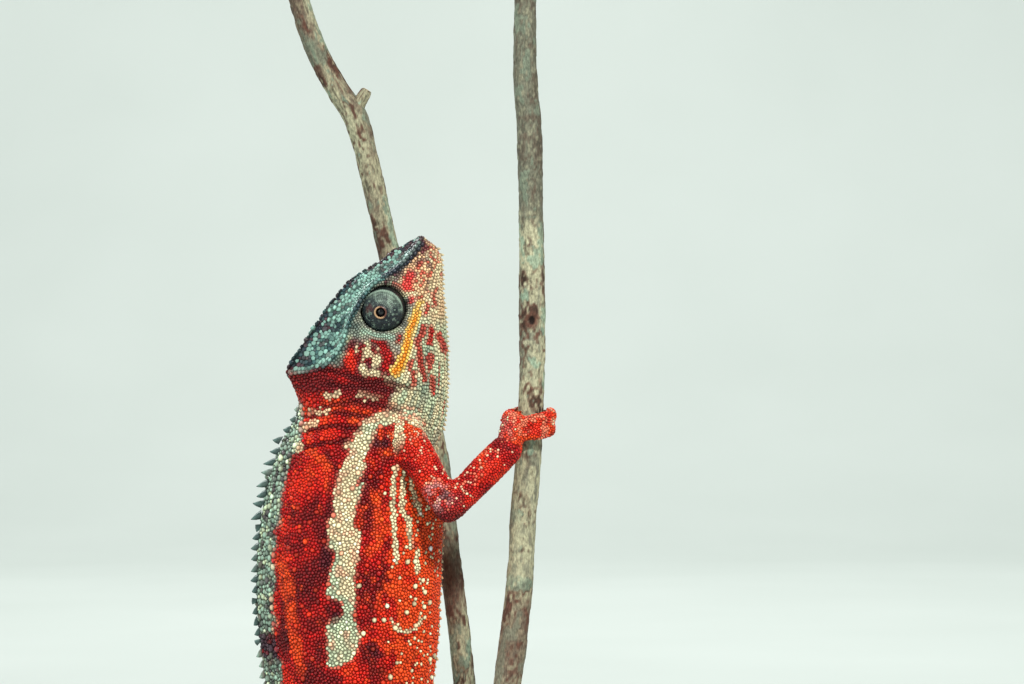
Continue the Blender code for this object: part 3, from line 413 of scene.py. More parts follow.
ORANGE_STREAKS = (((-32.4, 197.5, 1.0), (-30.4, 191.0, 1.6), (-29.6, 184.0, 1.2), (-28.2, 176.0, 1.3),
                   (-27.0, 168.0, 0.9)),
                  ((-24.0, 224.6, 1.6), (-20.4, 221.4, 1.2)), ((-8.0, 215.0, 0.8), (-6.6, 203.0, 1.3)),
                  ((-21.0, 237.6, 0.8), (-14.6, 237.2, 1.2), (-10.4, 236.2, 1.2)),
                 ((-13.6, 233.6, 1.2), (-10.8, 234.6, 0.6)),
                  ((-0.6, 190.0, 1.0), (0.4, 181.0, 2.4), (4.0, 178.0, 2.0)))
DOT_ARC = tuple((0.2 + 3.9 * math.cos(t), 182.4 + 3.9 * math.sin(t), 0.35)
                for t in np.linspace(math.radians(195.0), math.radians(375.0), 9))
PLAN_DISTANCE = 900.0
PLAN_MIDDLE = np.array((27.7, 253.6))
DORSAL_BAND = 5.4
BAND_TOP = 238.3
DARK_SADDLES = (175.2, 146.0, 122.0)
SADDLE_HALF = 3.6


def on_plan(points):
    """Where points of the trunk show on the flat plan of its markings, drawn from a little way off."""
    nearer = PLAN_DISTANCE / (PLAN_DISTANCE - np.abs(points[:, 1:2]))
    return PLAN_MIDDLE + (points[:, [0, 2]] - PLAN_MIDDLE) * nearer


def paint_flank(points, flat, toward_belly, fine):
    """Red of the flank, darker beside the pale band and orange toward the belly."""
    x, _, z = points.T
    broad = rough_noise(points * (1.0, 1.0, 0.6), 5.0, 3)
    band = line_distance(flat, FLANK_BAND)
    strewn = 0.85 - 0.60 * smooth_step(160.0, 168.0, z)
    behind_band = smooth_step(5.0, 0.6, band) * smooth_step(-15.9, -16.3, x)
    ahead_of_band = smooth_step(4.0, 0.8, band) * (x > -14.0)
    colour = layered(RED,
                     (RED_DARK, smooth_step(0.0, 0.5, -broad)),
                     (MAROON, smooth_step(0.32, 0.62, -broad) * strewn),
                     (RED_BRIGHT, smooth_step(0.05, 0.45, broad) * 0.9),
                     (ORANGE, smooth_step(0.45, 0.8, broad + 0.3 * fine) * 0.7),
                     (ORANGE, smooth_step(0.62, 0.88, toward_belly + 0.25 * fine) * 0.95),
                     (MAROON, behind_band * smooth_step(-0.05, 0.4, noise(points, 4.2, 9)) * 0.7),
                     (RED_DARK, ahead_of_band * smooth_step(-0.2, 0.5, broad) * 0.55))
    for line in DARK_PATCHES:
        patch = smooth_step(1.6, -0.7, line_distance(flat, line)) * smooth_step(-0.9, 0.1, fine)
        colour = mixed(colour, MAROON, patch * 0.8)
    back_dots = smooth_step(0.66, 0.74, fine) * smooth_step(0.42, 0.2, toward_belly)
    return mixed(colour, ORANGE, back_dots * 0.8)


def over_band(colour, points, flat, fine):
    """The flank's colour under its pale band, branches and blobs, and the marks beside them."""
    pale = line_distance(flat, FLANK_BAND)
    for line in (FLANK_BRANCH, FLANK_FORK, *FLANK_BLOBS):
        pale = np.minimum(pale, line_distance(flat, line))
    pale = pale + 0.1 + 0.55 * fine
    cream = layered(CREAM,
                    (CREAM_GREEN, smooth_step(-0.2, 0.4, noise(points, 5.0, 12))),
                    (CREAM_GREEN, smooth_step(184.0, 181.0, points[:, 2]) * 0.8),
                    (FLANK_PINK, smooth_step(0.05, 0.5, -fine) * 0.6))
    colour = np.where((pale < 0.0)[:, None], cream, colour)
    for line in ORANGE_STREAKS:
        streak = smooth_step(0.9, -0.5, line_distance(flat, line)) * (pale > 0.0)
        colour = mixed(colour, ORANGE, streak * smooth_step(-0.9, 0.2, fine) * 0.9)
    for line in PURPLE_BLOTS:
        colour = mixed(colour, PURPLE, smooth_step(0.8, -0.3, line_distance(flat, line)) * 0.75)
    near = smooth_step(0.7, 0.0, pale) * (pale >= 0.0)
    return mixed(colour, BAND_EDGE, near * 0.6)


def over_neck(colour, points, plan):
    """The body's colour under painted shade along the neck's folds and the pale patches of neck and armpit.
    """
    x = points[:, 0]
    # Painted shade: dark maroon along the creases of the neck's and cheek's folds.
    for line in NECK_FOLDS + CHEEK_FOLDS:
        colour = mixed(colour, MAROON * 0.7, smooth_step(0.9, 0.0, line_distance(plan, line)) * 0.85)
    colour = mixed(colour, MAROON, smooth_step(236.5, 240.0, plan[:, 1] + 0.08 * x) * (x < 3.0) * 0.85)
    tiny = noise(points, 0.8, 35)
    for lines, reach, ragged, strength in (((ARMPIT_PATCH, DOT_ARC, *ARMPIT_LINES), 0.18, 0.25, 1.0),
                                           (NECK_PATCHES, 0.25, 1.1, 0.7)):
        for line in lines:
            gap = line_distance(plan, line) + ragged * tiny
            colour = mixed(colour, CREAM, smooth_step(reach, reach - 0.18, gap) * strength)
    return colour


def paint_body(points):
    """Markings of the neck and trunk at points on them, with painted shade along the neck's folds."""
    x, _, z = points.T
    plan = on_plan(points)
    flat = plan + np.stack((noise(points, 2.3, 31), noise(points, 2.3, 32)), axis=1) * 0.4
    back, belly = keyed(BACK_LINE, z)[:, 0], keyed(BELLY_LINE, z)[:, 0]
    fine = noise(points, 1.7, 5)
    colour = paint_flank(points, flat, (x - back) / (belly - back), fine)
    colour = over_band(colour, points, flat, fine)
    colour = over_neck(colour, points, plan)
    throat = smooth_step(3.5, 5.5, x + 0.5 * fine) * smooth_step(216.0, 229.0, z + 5.0 * fine)
    colour = mixed(colour, paint_throat(points), throat)
    dorsal_gap = x - back - DORSAL_BAND - 0.9 * fine - 0.7 * noise(points, 4.0, 21)
    narrowing = 3.5 * smooth_step(BAND_TOP - 11.0, BAND_TOP, z)
    return mixed(colour, paint_dorsal_band(points), smooth_step(0.6, -0.6, dorsal_gap + narrowing)
                 * smooth_step(BAND_TOP + 1.0, BAND_TOP - 1.5, z + fine))


def paint_dorsal_band(points):
    """Pale mint and grey-green scales along the back, crossed by dark saddles."""
    quick = noise(points, 1.1, 8)
    colour = mixed(MINT, CREAM_GREEN, smooth_step(0.1, 0.5, quick))
    colour = mixed(colour, GREY_GREEN, smooth_step(-0.1, 0.3, -quick) * 0.9)
    colour = mixed(colour, GREY_PURPLE, smooth_step(0.22, 0.45, noise(points, 1.0, 28)) * 0.85)
    saddle = mixed(GREY_PURPLE, MAROON, smooth_step(0.0, 0.4, noise(points, 1.4, 29)))
    for height in DARK_SADDLES:
        over = smooth_step(SADDLE_HALF + 1.0, SADDLE_HALF - 1.0, np.abs(points[:, 2] - height) + quick)
        colour = mixed(colour, saddle, over)
    return colour


def paint_throat(points):
    """Cream and grey-green beads in rows along the throat, with red streaks among them."""
    ahead, up, out = to_head(points).T
    stretched = np.stack((ahead / 5.0, up, out * 1.2), axis=1)
    return layered(CREAM_GREEN,
                   (CREAM, smooth_step(-0.1, 0.5, noise(stretched, 1.6, 41)) * 0.8),
                   (GREY_GREEN, smooth_step(0.3, 0.6, -noise(stretched, 1.2, 42)) * 0.65),
                   (RED, smooth_step(0.46, 0.6, noise(stretched, 1.7, 43)) * 0.85))


# ---------------------------------------------------------------- markings of the head
# Lines of (ahead, up, half width) on the side of the head.
PALE_RIDGES = (((34.6, 5.7, 0.4), (28.5, 9.1, 0.5), (24.7, 12.6, 0.6), (20.9, 14.4, 0.6),
                (17.6, 16.3, 0.6), (11.7, 17.3, 0.6), (5.8, 17.2, 0.6), (2.6, 17.3, 0.6),
                (-1.0, 19.2, 0.7), (-4.3, 22.2, 0.7), (-7.4, 27.2, 0.5)),
               ((12.8, 17.7, 0.5), (10.3, 19.8, 0.5), (8.8, 21.9, 0.4)),
               ((26.3, 13.1, 0.4), (21.6, 15.8, 0.5), (17.6, 19.2, 0.5), (13.4, 20.2, 0.5),
                (11.2, 22.5, 0.4)))
DARK_CANTHUS = ((34.6, 4.9, 0.5), (31.8, 5.9, 0.7), (28.3, 7.7, 0.8), (25.7, 9.9, 0.8), (23.6, 12.0, 0.5))
LIP_STRIPE = ((20.0, 0.9, 0.6), (16.4, 1.0, 0.9), (12.4, 0.9, 0.95), (8.6, 0.6, 1.0), (5.2, 0.4, 1.05),
              (2.8, 0.6, 1.3), (1.6, 1.2, 1.3))
UNDER_EYE = ((9.6, 4.6, 0.6), (8.6, 8.5, 0.8), (8.8, 12.4, 0.6))
# Troughs of the casque: cut into the skin, and painted dark as painted shade.
CASQUE_TROUGHS = (((5.8, 23.9, 0.9), (7.4, 20.3, 1.7), (8.6, 17.0, 1.0)),
                  ((9.8, 21.6, 0.5), (12.9, 18.5, 0.5)), ((12.8, 16.2, 0.4), (10.6, 16.6, 0.4)),
                  ((14.6, 21.4, 0.3), (18.6, 17.8, 0.4), (22.6, 15.0, 0.3)))
NECK_BAND = ((-12.0, 26.0, 2.2), (-6.6, 20.4, 2.0), (-3.9, 13.7, 1.5), (-4.2, 9.3, 1.3), (-3.2, 4.0, 0.9))
THROAT_STREAKS = (((14.6, -2.2, 0.8), (9.9, -1.9, 0.9), (4.8, -4.4, 0.9), (1.4, -6.5, 0.7)),
                  ((14.4, -4.0, 0.8), (11.0, -4.4, 0.7)),
                  ((13.9, -5.9, 0.8), (10.6, -8.7, 0.9)),
                  ((2.4, -3.0, 0.7), (-1.0, -4.2, 0.6)), ((2.6, -8.1, 0.6), (-1.5, -9.6, 0.6)),
                  ((20.8, -0.9, 0.4), (18.0, -1.6, 0.4)), ((23.5, -1.5, 0.4), (20.6, -2.9, 0.4)))
RED_BLOTCHES = (((26.4, 5.4, 1.1), (23.2, 5.2, 1.5)), ((20.3, 3.1, 0.8), (19.4, 3.3, 0.5)))
DARK_BLOTCHES = (((7.6, 7.2, 1.1), (5.0, 5.1, 1.7)), ((4.6, 4.3, 1.5), (1.4, 4.0, 1.2)),
                 ((6.8, 9.6, 0.6), (7.6, 7.2, 0.9)), ((10.4, 3.0, 0.7), (8.8, 3.0, 0.7)))
HOT_BLOTCH = ((2.4, 13.7, 0.9), (0.4, 13.1, 1.5), (-1.8, 11.9, 1.0))
PALE_SPOTS = (((2.9, 6.7, 1.2), (1.9, 6.5, 0.8)), ((-0.4, 5.4, 0.8), (-0.9, 7.2, 0.6)),
              ((4.3, 10.3, 0.5), (3.4, 9.8, 0.6)), ((-0.3, 9.6, 1.0), (-1.6, 8.6, 0.8)),
              ((22.0, 2.2, 0.5), (20.4, 6.9, 0.6)))


def laid(colour, new, flat, line, edge=0.45, strength=1.0):
    """The head's colour under another along a line on its side."""
    return mixed(colour, new, smooth_step(edge, -edge, line_distance(flat, line)) * strength)


def paint_cheek(ahead, seen_up, flat, grain):
    """Grey-green cheek with its blotches and spots, and the creamy speckled snout."""
    mid, fine, tiny = grain
    snout = smooth_step(20.0, 23.5, ahead + 0.6 * (4.0 - seen_up) * (seen_up < 4.0))
    cream = mixed(SNOUT_CREAM, CREAM_GREEN, smooth_step(-0.1, 0.4, mid) * 0.6)
    by_eye = smooth_step(11.0, 14.0, seen_up) * smooth_step(13.0, 9.0, ahead)
    lower_cheek = smooth_step(7.6, 5.0, ahead) * smooth_step(16.5, 14.0, seen_up)
    speckled = layered(RED_DARK,
                       (CREAM, smooth_step(0.12, 0.35, fine) * 0.9),
                       (CASQUE_WINE, smooth_step(0.2, 0.5, -mid) * 0.5))
    colour = layered(CHEEK_GREY,
                     (CREAM_GREEN, smooth_step(0.15, 0.5, fine) * 0.7),
                     (CASQUE_DARK, smooth_step(0.25, 0.6, -fine) * 0.5),
                     (CASQUE_TEAL, by_eye * 0.45),
                     (cream, snout * smooth_step(9.0, 6.0, seen_up)),
                     (RED, snout * smooth_step(0.22, 0.42, tiny) * 0.8),
                     (CASQUE_WINE, snout * smooth_step(0.3, 0.5, -tiny) * 0.75),
                     (speckled, lower_cheek * smooth_step(-0.5, 1.5, seen_up)))
    for line in DARK_BLOTCHES:
        colour = laid(colour, RED_DARK, flat, line, 0.9)
        colour = mixed(colour, RED, smooth_step(-0.2, -0.9, line_distance(flat, line)) * 0.9)
    for line in RED_BLOTCHES:
        colour = laid(colour, PINK_RED, flat, line, 0.6, 0.9)
    colour = laid(colour, RED_BRIGHT, flat, HOT_BLOTCH, 0.7)
    colour = laid(colour, MINT, flat, UNDER_EYE, 0.5, 0.85)
    for line in PALE_SPOTS:
        colour = laid(colour, CREAM, flat, line)
    return colour


def over_jaw(colour, points, ahead, seen_up, flat, grain):
    """The head's colour under the throat's beads, the chin, the red streaks and the lip stripe."""
    mid, fine, _ = grain
    below = smooth_step(0.3, -0.5, seen_up) * smooth_step(-16.0, -8.0, ahead)
    below = below * smooth_step(-3.0, -0.5, -0.35 * ahead - seen_up + 9.0)
    chin_front = smooth_step(14.0, 20.0, ahead) * smooth_step(0.5, -0.5, seen_up)
    chin = layered(CREAM,
                   (SNOUT_CREAM, smooth_step(-0.2, 0.5, mid)),
                   (RED, smooth_step(0.35, 0.55, fine) * 0.8))
    colour = layered(colour, (paint_throat(points), below), (chin, chin_front * 0.85))
    for line in THROAT_STREAKS:
        colour = laid(colour, RED, flat, line, 0.4, 0.9)
    stripe = line_distance(flat, LIP_STRIPE)
    return layered(colour,
                   (LIP_YELLOW, smooth_step(0.5, 0.0, stripe)),
                   (LIP_ORANGE, smooth_step(-0.25, -0.8, stripe) * smooth_step(19.5, 15.5, ahead)))


def paint_casque(ahead, flat, over_crest, edge, grain):
    """Teal casque with pale panels, a dark speckled border, painted shade in its troughs and a painted
    highlight along its rim.
    """
    mid, fine, tiny = grain
    panel = smooth_step(0.6, 1.4, over_crest) * smooth_step(1.6, 2.6, edge) * smooth_step(2.0, 5.0, ahead)
    border = smooth_step(4.2, 2.4, edge + 0.15 * np.clip(ahead, 0.0, 16.0)) * smooth_step(-0.6, 0.1, fine)
    colour = layered(CASQUE_TEAL,
                     (CASQUE_PALE, smooth_step(0.05, 0.5, fine) * 0.6),
                     (CASQUE_PALE, panel * smooth_step(-0.6, 0.2, mid) * 0.8),
                     (CASQUE_DARK, smooth_step(0.0, 0.5, -mid) * 0.8),
                     (mixed(CASQUE_DARK, CASQUE_WINE, smooth_step(-0.1, 0.3, tiny)), border * 0.85),
                     (CASQUE_DARK, smooth_step(8.0, 3.0, ahead) * 0.4))
    # Painted shade in the troughs between the ridges.
    for line in CASQUE_TROUGHS:
        trough = smooth_step(0.7, -0.4, line_distance(flat, line)) * smooth_step(-0.9, 0.0, tiny)
        colour = mixed(colour, CASQUE_DARK, trough * 0.85)
    # A painted highlight: a pale, mottled rim along the crown's edge.
    rim = smooth_step(0.7, 0.2, edge) * smooth_step(2.0, 5.0, ahead) * smooth_step(21.0, 18.0, ahead)
    snout = smooth_step(22.0, 27.0, ahead)
    return layered(colour,
                   (CASQUE_WINE, smooth_step(0.1, 0.5, tiny) * smooth_step(1.8, 4.0, over_crest) * 0.6),
                   (CASQUE_PALE, rim * smooth_step(-0.3, 0.3, mid) * 0.6),
                   (CASQUE_WINE * 0.8, snout * smooth_step(-0.7, 0.1, tiny) * 0.85))


def over_ridges(colour, ahead, seen_up, side, flat, over_crest, grain):
    """The head's colour under its ridges, the ring round the eye and the neck's red band."""
    mid, _, tiny = grain
    by_canthus = smooth_step(3.0, 0.6, line_distance(flat, DARK_CANTHUS)) * smooth_step(0.2, -0.4, over_crest)
    colour = mixed(colour, CASQUE_WINE, by_canthus * smooth_step(-0.2, 0.2, tiny) * 0.85)
    colour = laid(colour, CASQUE_DARK, flat, DARK_CANTHUS, 0.5, 0.95)
    tint_weight = 0.95 - 0.60 * smooth_step(16.0, 24.0, ahead)
    for line in PALE_RIDGES:
        colour = laid(colour, CASQUE_PALE, flat, line, 0.45, tint_weight)
    near_eye = np.hypot(flat[:, 0] - EYE_PLACE[0], flat[:, 1] - 9.4)
    ring = smooth_step(7.6, 6.2, near_eye) * (side > 3.0)
    behind = smooth_step(0.2, -0.8, over_crest) * smooth_step(-1.0, -3.0, ahead)
    colour = layered(colour,
                     (CASQUE_DARK, ring * smooth_step(-0.1, 0.35, tiny) * 0.6),
                     (RED_DARK, behind * smooth_step(-1.0, 1.5, seen_up)))
    return laid(colour, mixed(RED_DARK, RED, smooth_step(0.0, 0.5, mid)), flat, NECK_BAND, 0.8)


def paint_head(points):
    """Markings of the head and jaws at points on them, with painted shade in the cheek's folds and the
    casque's troughs and a painted highlight along the crown's rim.
    """
    ahead, up, out = to_head(points).T
    side = np.abs(out)
    seen_up = up * math.cos(HEAD_ROLL) - side * math.sin(HEAD_ROLL)
    grain = noise(points, 3.2, 51), noise(points, 1.5, 52), noise(points, 0.9, 53)
    wobble = np.stack((noise(points, 1.6, 54), noise(points, 1.6, 55)), axis=1) * 0.35
    flat = np.stack((ahead, seen_up), axis=1) + wobble
    over_crest = up - keyed(CREST, ahead)[:, 0]
    colour = paint_cheek(ahead, seen_up, flat, grain)
    colour = over_jaw(colour, points, ahead, seen_up, flat, grain)
    casque = paint_casque(ahead, flat, over_crest, keyed(CROWN, ahead)[:, 0] - up, grain)
    colour = mixed(colour, casque, smooth_step(-1.2, -0.4, over_crest))
    colour = over_ridges(colour, ahead, seen_up, side, flat, over_crest, grain)
    plan = on_plan(points)
    # Painted shade: dark maroon along the creases of the cheek's folds.
    for line in CHEEK_FOLDS:
        colour = mixed(colour, MAROON * 0.6, smooth_step(0.8, 0.0, line_distance(plan, line)) * 0.85)
    return colour


def paint_limb(points):
    """Red limbs with cream beads, wine-coloured at the joints and paler toward the hands."""
    broad, fine = rough_noise(points, 4.0, 61), noise(points, 1.5, 62)
    colour = layered(RED,
                     (RED_DARK, smooth_step(0.1, 0.6, -broad) * 0.8),
                     (RED_BRIGHT, smooth_step(-0.15, 0.3, broad) * 0.9),
                     (ORANGE, smooth_step(0.3, 0.7, broad) * 0.5))
    for _, middle, end, _ in LIMBS.values():
        for joint, reach, strength in ((middle, 8.5, 1.0), (end, 5.5, 0.4)):
            apart = np.linalg.norm(points - np.array(joint), axis=1)
            near = smooth_step(reach, reach * 0.45, apart) * strength
            colour = mixed(colour, CASQUE_WINE, near * smooth_step(-0.4, 0.3, fine) * 0.35)
            colour = mixed(colour, MAROON, near * smooth_step(0.1, 0.6, broad) * 0.5)
    elbow = np.array(LIMBS["arm_right"][1])
    offset = points - elbow
    gap = np.linalg.norm(offset, axis=1)
    # Maroon under the right elbow: partly its own dark colour, partly painted shade on its underside.
    below = smooth_step(8.5, 5.0, gap) * smooth_step(1.0, -2.0, offset[:, 2])
    colour = mixed(colour, MAROON, below * 0.75)
    patch = np.hypot(offset[:, 0] + 2.8, offset[:, 2] - 3.2)
    tint_weight = smooth_step(4.8, 2.6, patch) * smooth_step(12.0, 8.0, gap)
    colour = mixed(colour, WORN_PINK, tint_weight * smooth_step(-0.3, 0.2, noise(points, 1.0, 64)) * 0.75)
    return mixed(colour, PURPLE, tint_weight * smooth_step(0.15, 0.5, -noise(points, 1.8, 65)) * 0.6)


def paint_foot(points):
    """Bright red feet with orange and pale beads, worn grey at the right wrist."""
    broad, fine = noise(points, 3.0, 71), noise(points, 1.2, 72)
    wrist = np.array(LIMBS["arm_right"][2]) + (-2.0, 0.0, 4.5)
    greyed = smooth_step(4.6, 1.8, np.linalg.norm(points[:, [0, 2]] - wrist[[0, 2]], axis=1))
    return layered(RED_BRIGHT,
                   (ORANGE, smooth_step(-0.3, 0.4, broad) * 0.8),
                   (RED_DARK, smooth_step(0.3, 0.7, -fine) * 0.6),
                   (FOOT_BEAD, smooth_step(0.15, 0.45, fine) * 0.7),
                   (WRIST_WORN, greyed * smooth_step(-0.5, 0.2, broad + fine) * 0.6))


TAIL_BAR = 13.0


def paint_tail(points):
    """Red bars, dark edged, with cream beads between them."""
    broad, fine = rough_noise(points, 3.5, 81), noise(points, 1.4, 82)
    phase = np.mod(tail_places(points)[0] + 1.6 * broad, TAIL_BAR) / TAIL_BAR
    gap = smooth_step(0.17, 0.10, np.abs(phase - 0.82))
    return layered(RED,
                   (RED_BRIGHT, smooth_step(0.0, 0.5, broad) * 0.8),
                   (MAROON, smooth_step(0.16, 0.06, np.abs(phase - 0.55)) * 0.85),
                   (CREAM_GREEN, gap * smooth_step(-0.25, 0.25, fine) * 0.9),
                   (CREAM, smooth_step(0.52, 0.65, fine) * 0.8))


TAIL_ROUTE = tail_route()
TAIL_FINE = np.linspace(0.0, TAIL_ROUTE[-1][0], 900)
TAIL_POINTS = keyed(TAIL_ROUTE, TAIL_FINE)


def path_frames(points, first_up):
    """Directions, sides and ups along a path, carried without twist."""
    ways = unit(np.gradient(points, axis=0))
    sides, ups = np.empty_like(points), np.empty_like(points)
    up = np.asarray(first_up, float)
    for i, way in enumerate(ways):
        up = unit(up - way * (up @ way))
        ups[i], sides[i] = up, np.cross(way, up)
    return ways, sides, ups


TAIL_FRAMES = path_frames(TAIL_POINTS, (-1.0, 0.0, 0.3))


def nearest_index(points, path):
    """Index of the nearest path point for each point."""
    tree = point_tree(path)
    return np.array([tree.find(point)[1] for point in points], int)


def tail_places(points):
    """Distance along the tail and angle round it of points."""
    i = nearest_index(points, TAIL_POINTS)
    offset = points - TAIL_POINTS[i]
    _, sides, ups = TAIL_FRAMES
    angle = np.arctan2((offset * sides[i]).sum(1), (offset * ups[i]).sum(1))
    return TAIL_FINE[i], angle


PAINTERS = {"head": paint_head, "body": paint_body, "limb": paint_limb, "foot": paint_foot,
            "tail": paint_tail}


def paint(points, kinds):
    """The animal's markings at points, by the kind of flesh each lies on, with the painted shade and painted
    highlights laid among them.
    """
    colours = np.zeros((len(points), 3))
    for kind, painter in PAINTERS.items():
        chosen = kinds == kind
        if chosen.any():
            colours[chosen] = painter(points[chosen])
    height = points[:, 2]
    neck = (kinds == "head") & (to_head(points)[:, 0] < -5.0)
    if neck.any():
        share = smooth_step(-5.0, -8.5, to_head(points[neck])[:, 0])
        colours[neck] = mixed(colours[neck], paint_body(points[neck]), share)
    arm = (kinds == "limb") & (height > 215.0)
    if arm.any():
        roots = np.array([LIMBS["arm_right"][0], LIMBS["arm_left"][0]])
        gap = np.linalg.norm(points[arm][:, None] - roots[None], axis=2).min(1)
        colours[arm] = mixed(colours[arm], paint_body(points[arm]), smooth_step(8.0, 5.0, gap))
    return colours


# ================================================================ meshes
def new_piece(name, points, faces, paint_rows=None, patches=None, flat=False):
    """A mesh object from points and arrays of faces, with its paint and its map for baking."""
    mesh = bpy.data.meshes.new(name)
    corners = np.concatenate([part.ravel() for part in faces]).astype(np.int32)
    sizes = np.concatenate([np.full(len(part), part.shape[1]) for part in faces])
    starts = np.concatenate(([0], np.cumsum(sizes)[:-1])).astype(np.int32)
    mesh.vertices.add(len(points))
    mesh.vertices.foreach_set("co", (points * MM).astype(np.float32).ravel())
    mesh.loops.add(len(corners))
    mesh.loops.foreach_set("vertex_index", corners)
    mesh.polygons.add(len(sizes))
    mesh.polygons.foreach_set("loop_start", starts)
    mesh.update(calc_edges=True)
    mesh.polygons.foreach_set("use_smooth", np.full(len(sizes), not flat))
    if patches is not None:
        layer = mesh.uv_layers.new(name="OFBake")
        layer.data.foreach_set("uv", patches[corners].astype(np.float32).ravel())
    if paint_rows is not None:
        layer = mesh.color_attributes.new(name="paint", type="FLOAT_COLOR", domain="POINT")
        rows = np.concatenate((paint_rows, np.ones((len(points), 1))), axis=1)
        layer.data.foreach_set("color", rows.astype(np.float32).ravel())
    mesh.update()
    piece = bpy.data.objects.new(name, mesh)
    bpy.context.scene.collection.objects.link(piece)
    return piece


def place_piece(piece, material, replaced=()):
    """Give a piece its material, its body and the nodes that it stands for."""
    piece.data.materials.append(material)
    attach(piece, "root")
    if replaced:
        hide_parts(*replaced)


def welded_node(name):
    """A node's own points, normals and faces in millimetres, with split points joined again."""
    bm = bmesh.new()
    bm.from_mesh(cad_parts[name].data)
    bmesh.ops.remove_doubles(bm, verts=bm.verts, dist=1e-6)
    bm.normal_update()
    bm.verts.ensure_lookup_table()
    points = np.array([vert.co for vert in bm.verts]) / MM
    normals = np.array([vert.normal for vert in bm.verts])
    faces = [[vert.index for vert in face.verts] for face in bm.faces]
    bm.free()
    return points, normals, faces


def kind_of(name):
    """The kind of flesh that a node is."""
    if name in ("head", "jaw"):
        return "head"
    if name.startswith(("neck", "trunk")):
        return "body"
    if name.startswith("tail"):
        return "tail"
    return "limb" if name.startswith(("upper_arm", "forearm", "thigh", "shin")) else "foot"


FLESH = sorted(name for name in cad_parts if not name.startswith(("stand", "perch", "eye")))
NODE_SHAPES = {name: welded_node(name) for name in FLESH}


def tree_of(names):
    """A search tree over some nodes' faces, and the node that each face belongs to."""
    points, faces, owners, first = [], [], [], 0
    for name in names:
        shape = NODE_SHAPES[name]
        points.extend(map(tuple, shape[0]))
        faces.extend([i + first for i in face] for face in shape[2])
        owners.extend([name] * len(shape[2]))
        first += len(shape[0])
    return BVHTree.FromPolygons(points, faces), owners


FLESH_TREE, FLESH_OWNERS = tree_of(FLESH)


def owners_at(points):
    """The flesh node nearest to each point."""
    return np.array([FLESH_OWNERS[FLESH_TREE.find_nearest(point)[2]] for point in points])


# ================================================================ skin
def joined_flesh():
    """All flesh nodes grown until they meet, remeshed into one closed surface."""
    points, faces, first = [], [], 0
    for name in FLESH:
        shape = NODE_SHAPES[name]
        points.extend(map(tuple, shape[0] + shape[1] * GROW_TO_JOIN))
        faces.extend([i + first for i in face] for face in shape[2])
        first += len(shape[0])
    mesh = bpy.data.meshes.new("flesh")
    mesh.from_pydata(points, [], faces)
    holder = bpy.data.objects.new("flesh", mesh)
    bpy.context.scene.collection.objects.link(holder)
    remesh = holder.modifiers.new("join", "REMESH")
    remesh.mode = "VOXEL"
    remesh.voxel_size = VOXEL
    depsgraph = bpy.context.evaluated_depsgraph_get()
    joined = bpy.data.meshes.new_from_object(holder.evaluated_get(depsgraph))
    bpy.data.objects.remove(holder)
    return joined


def vertex_normals(points, quads):
    """Smooth normals at the points of a mesh of quads."""
    across = np.cross(points[quads[:, 2]] - points[quads[:, 0]], points[quads[:, 3]] - points[quads[:, 1]])
    normals = np.zeros_like(points)
    for corner in range(4):
        for axis in range(3):
            normals[:, axis] += np.bincount(quads[:, corner], across[:, axis], len(points))
    return unit(normals)


class Relaxer:
    """Averages values over the neighbours of each point of a mesh."""

    def __init__(self, quads, count):
        pairs = np.concatenate([quads[:, [i, (i + 1) % 4]] for i in range(4)])
        pairs = np.unique(np.sort(pairs, axis=1), axis=0)
        self.starts = np.concatenate((pairs[:, 0], pairs[:, 1]))
        self.stops = np.concatenate((pairs[:, 1], pairs[:, 0]))
        self.count = count
        self.links = np.maximum(np.bincount(self.starts, minlength=count), 1)

    def relax(self, values, strengths, rounds):
        values = values.copy()
        for _ in range(rounds):
            average = np.stack([np.bincount(self.starts, values[self.stops, axis], self.count)
                                for axis in range(values.shape[1])], axis=1) / self.links[:, None]
            values += (average - values) * strengths[:, None]
        return values


def near_line_3d(points, line):
    """Distance from points to a line through points in space."""
    best = np.full(len(points), 1e9)
    for start, stop in zip(line[:-1], line[1:]):
        way = stop - start
        t = np.clip((points - start) @ way / (way @ way), 0.0, 1.0)
        best = np.minimum(best, np.linalg.norm(points - start - t[:, None] * way, axis=1))
    return best


def fold_relief(plan, lines):
    """Creases along lines on the flat plan, each with a soft swell beside it."""
    relief = np.zeros(len(plan))
    for line in lines:
        gap = line_distance(plan, line)
        relief -= 0.5 * np.exp(-(np.maximum(gap, 0.0) / 0.7) ** 2)
        relief += 0.18 * np.exp(-((gap - 1.9) / 0.8) ** 2)
    return relief


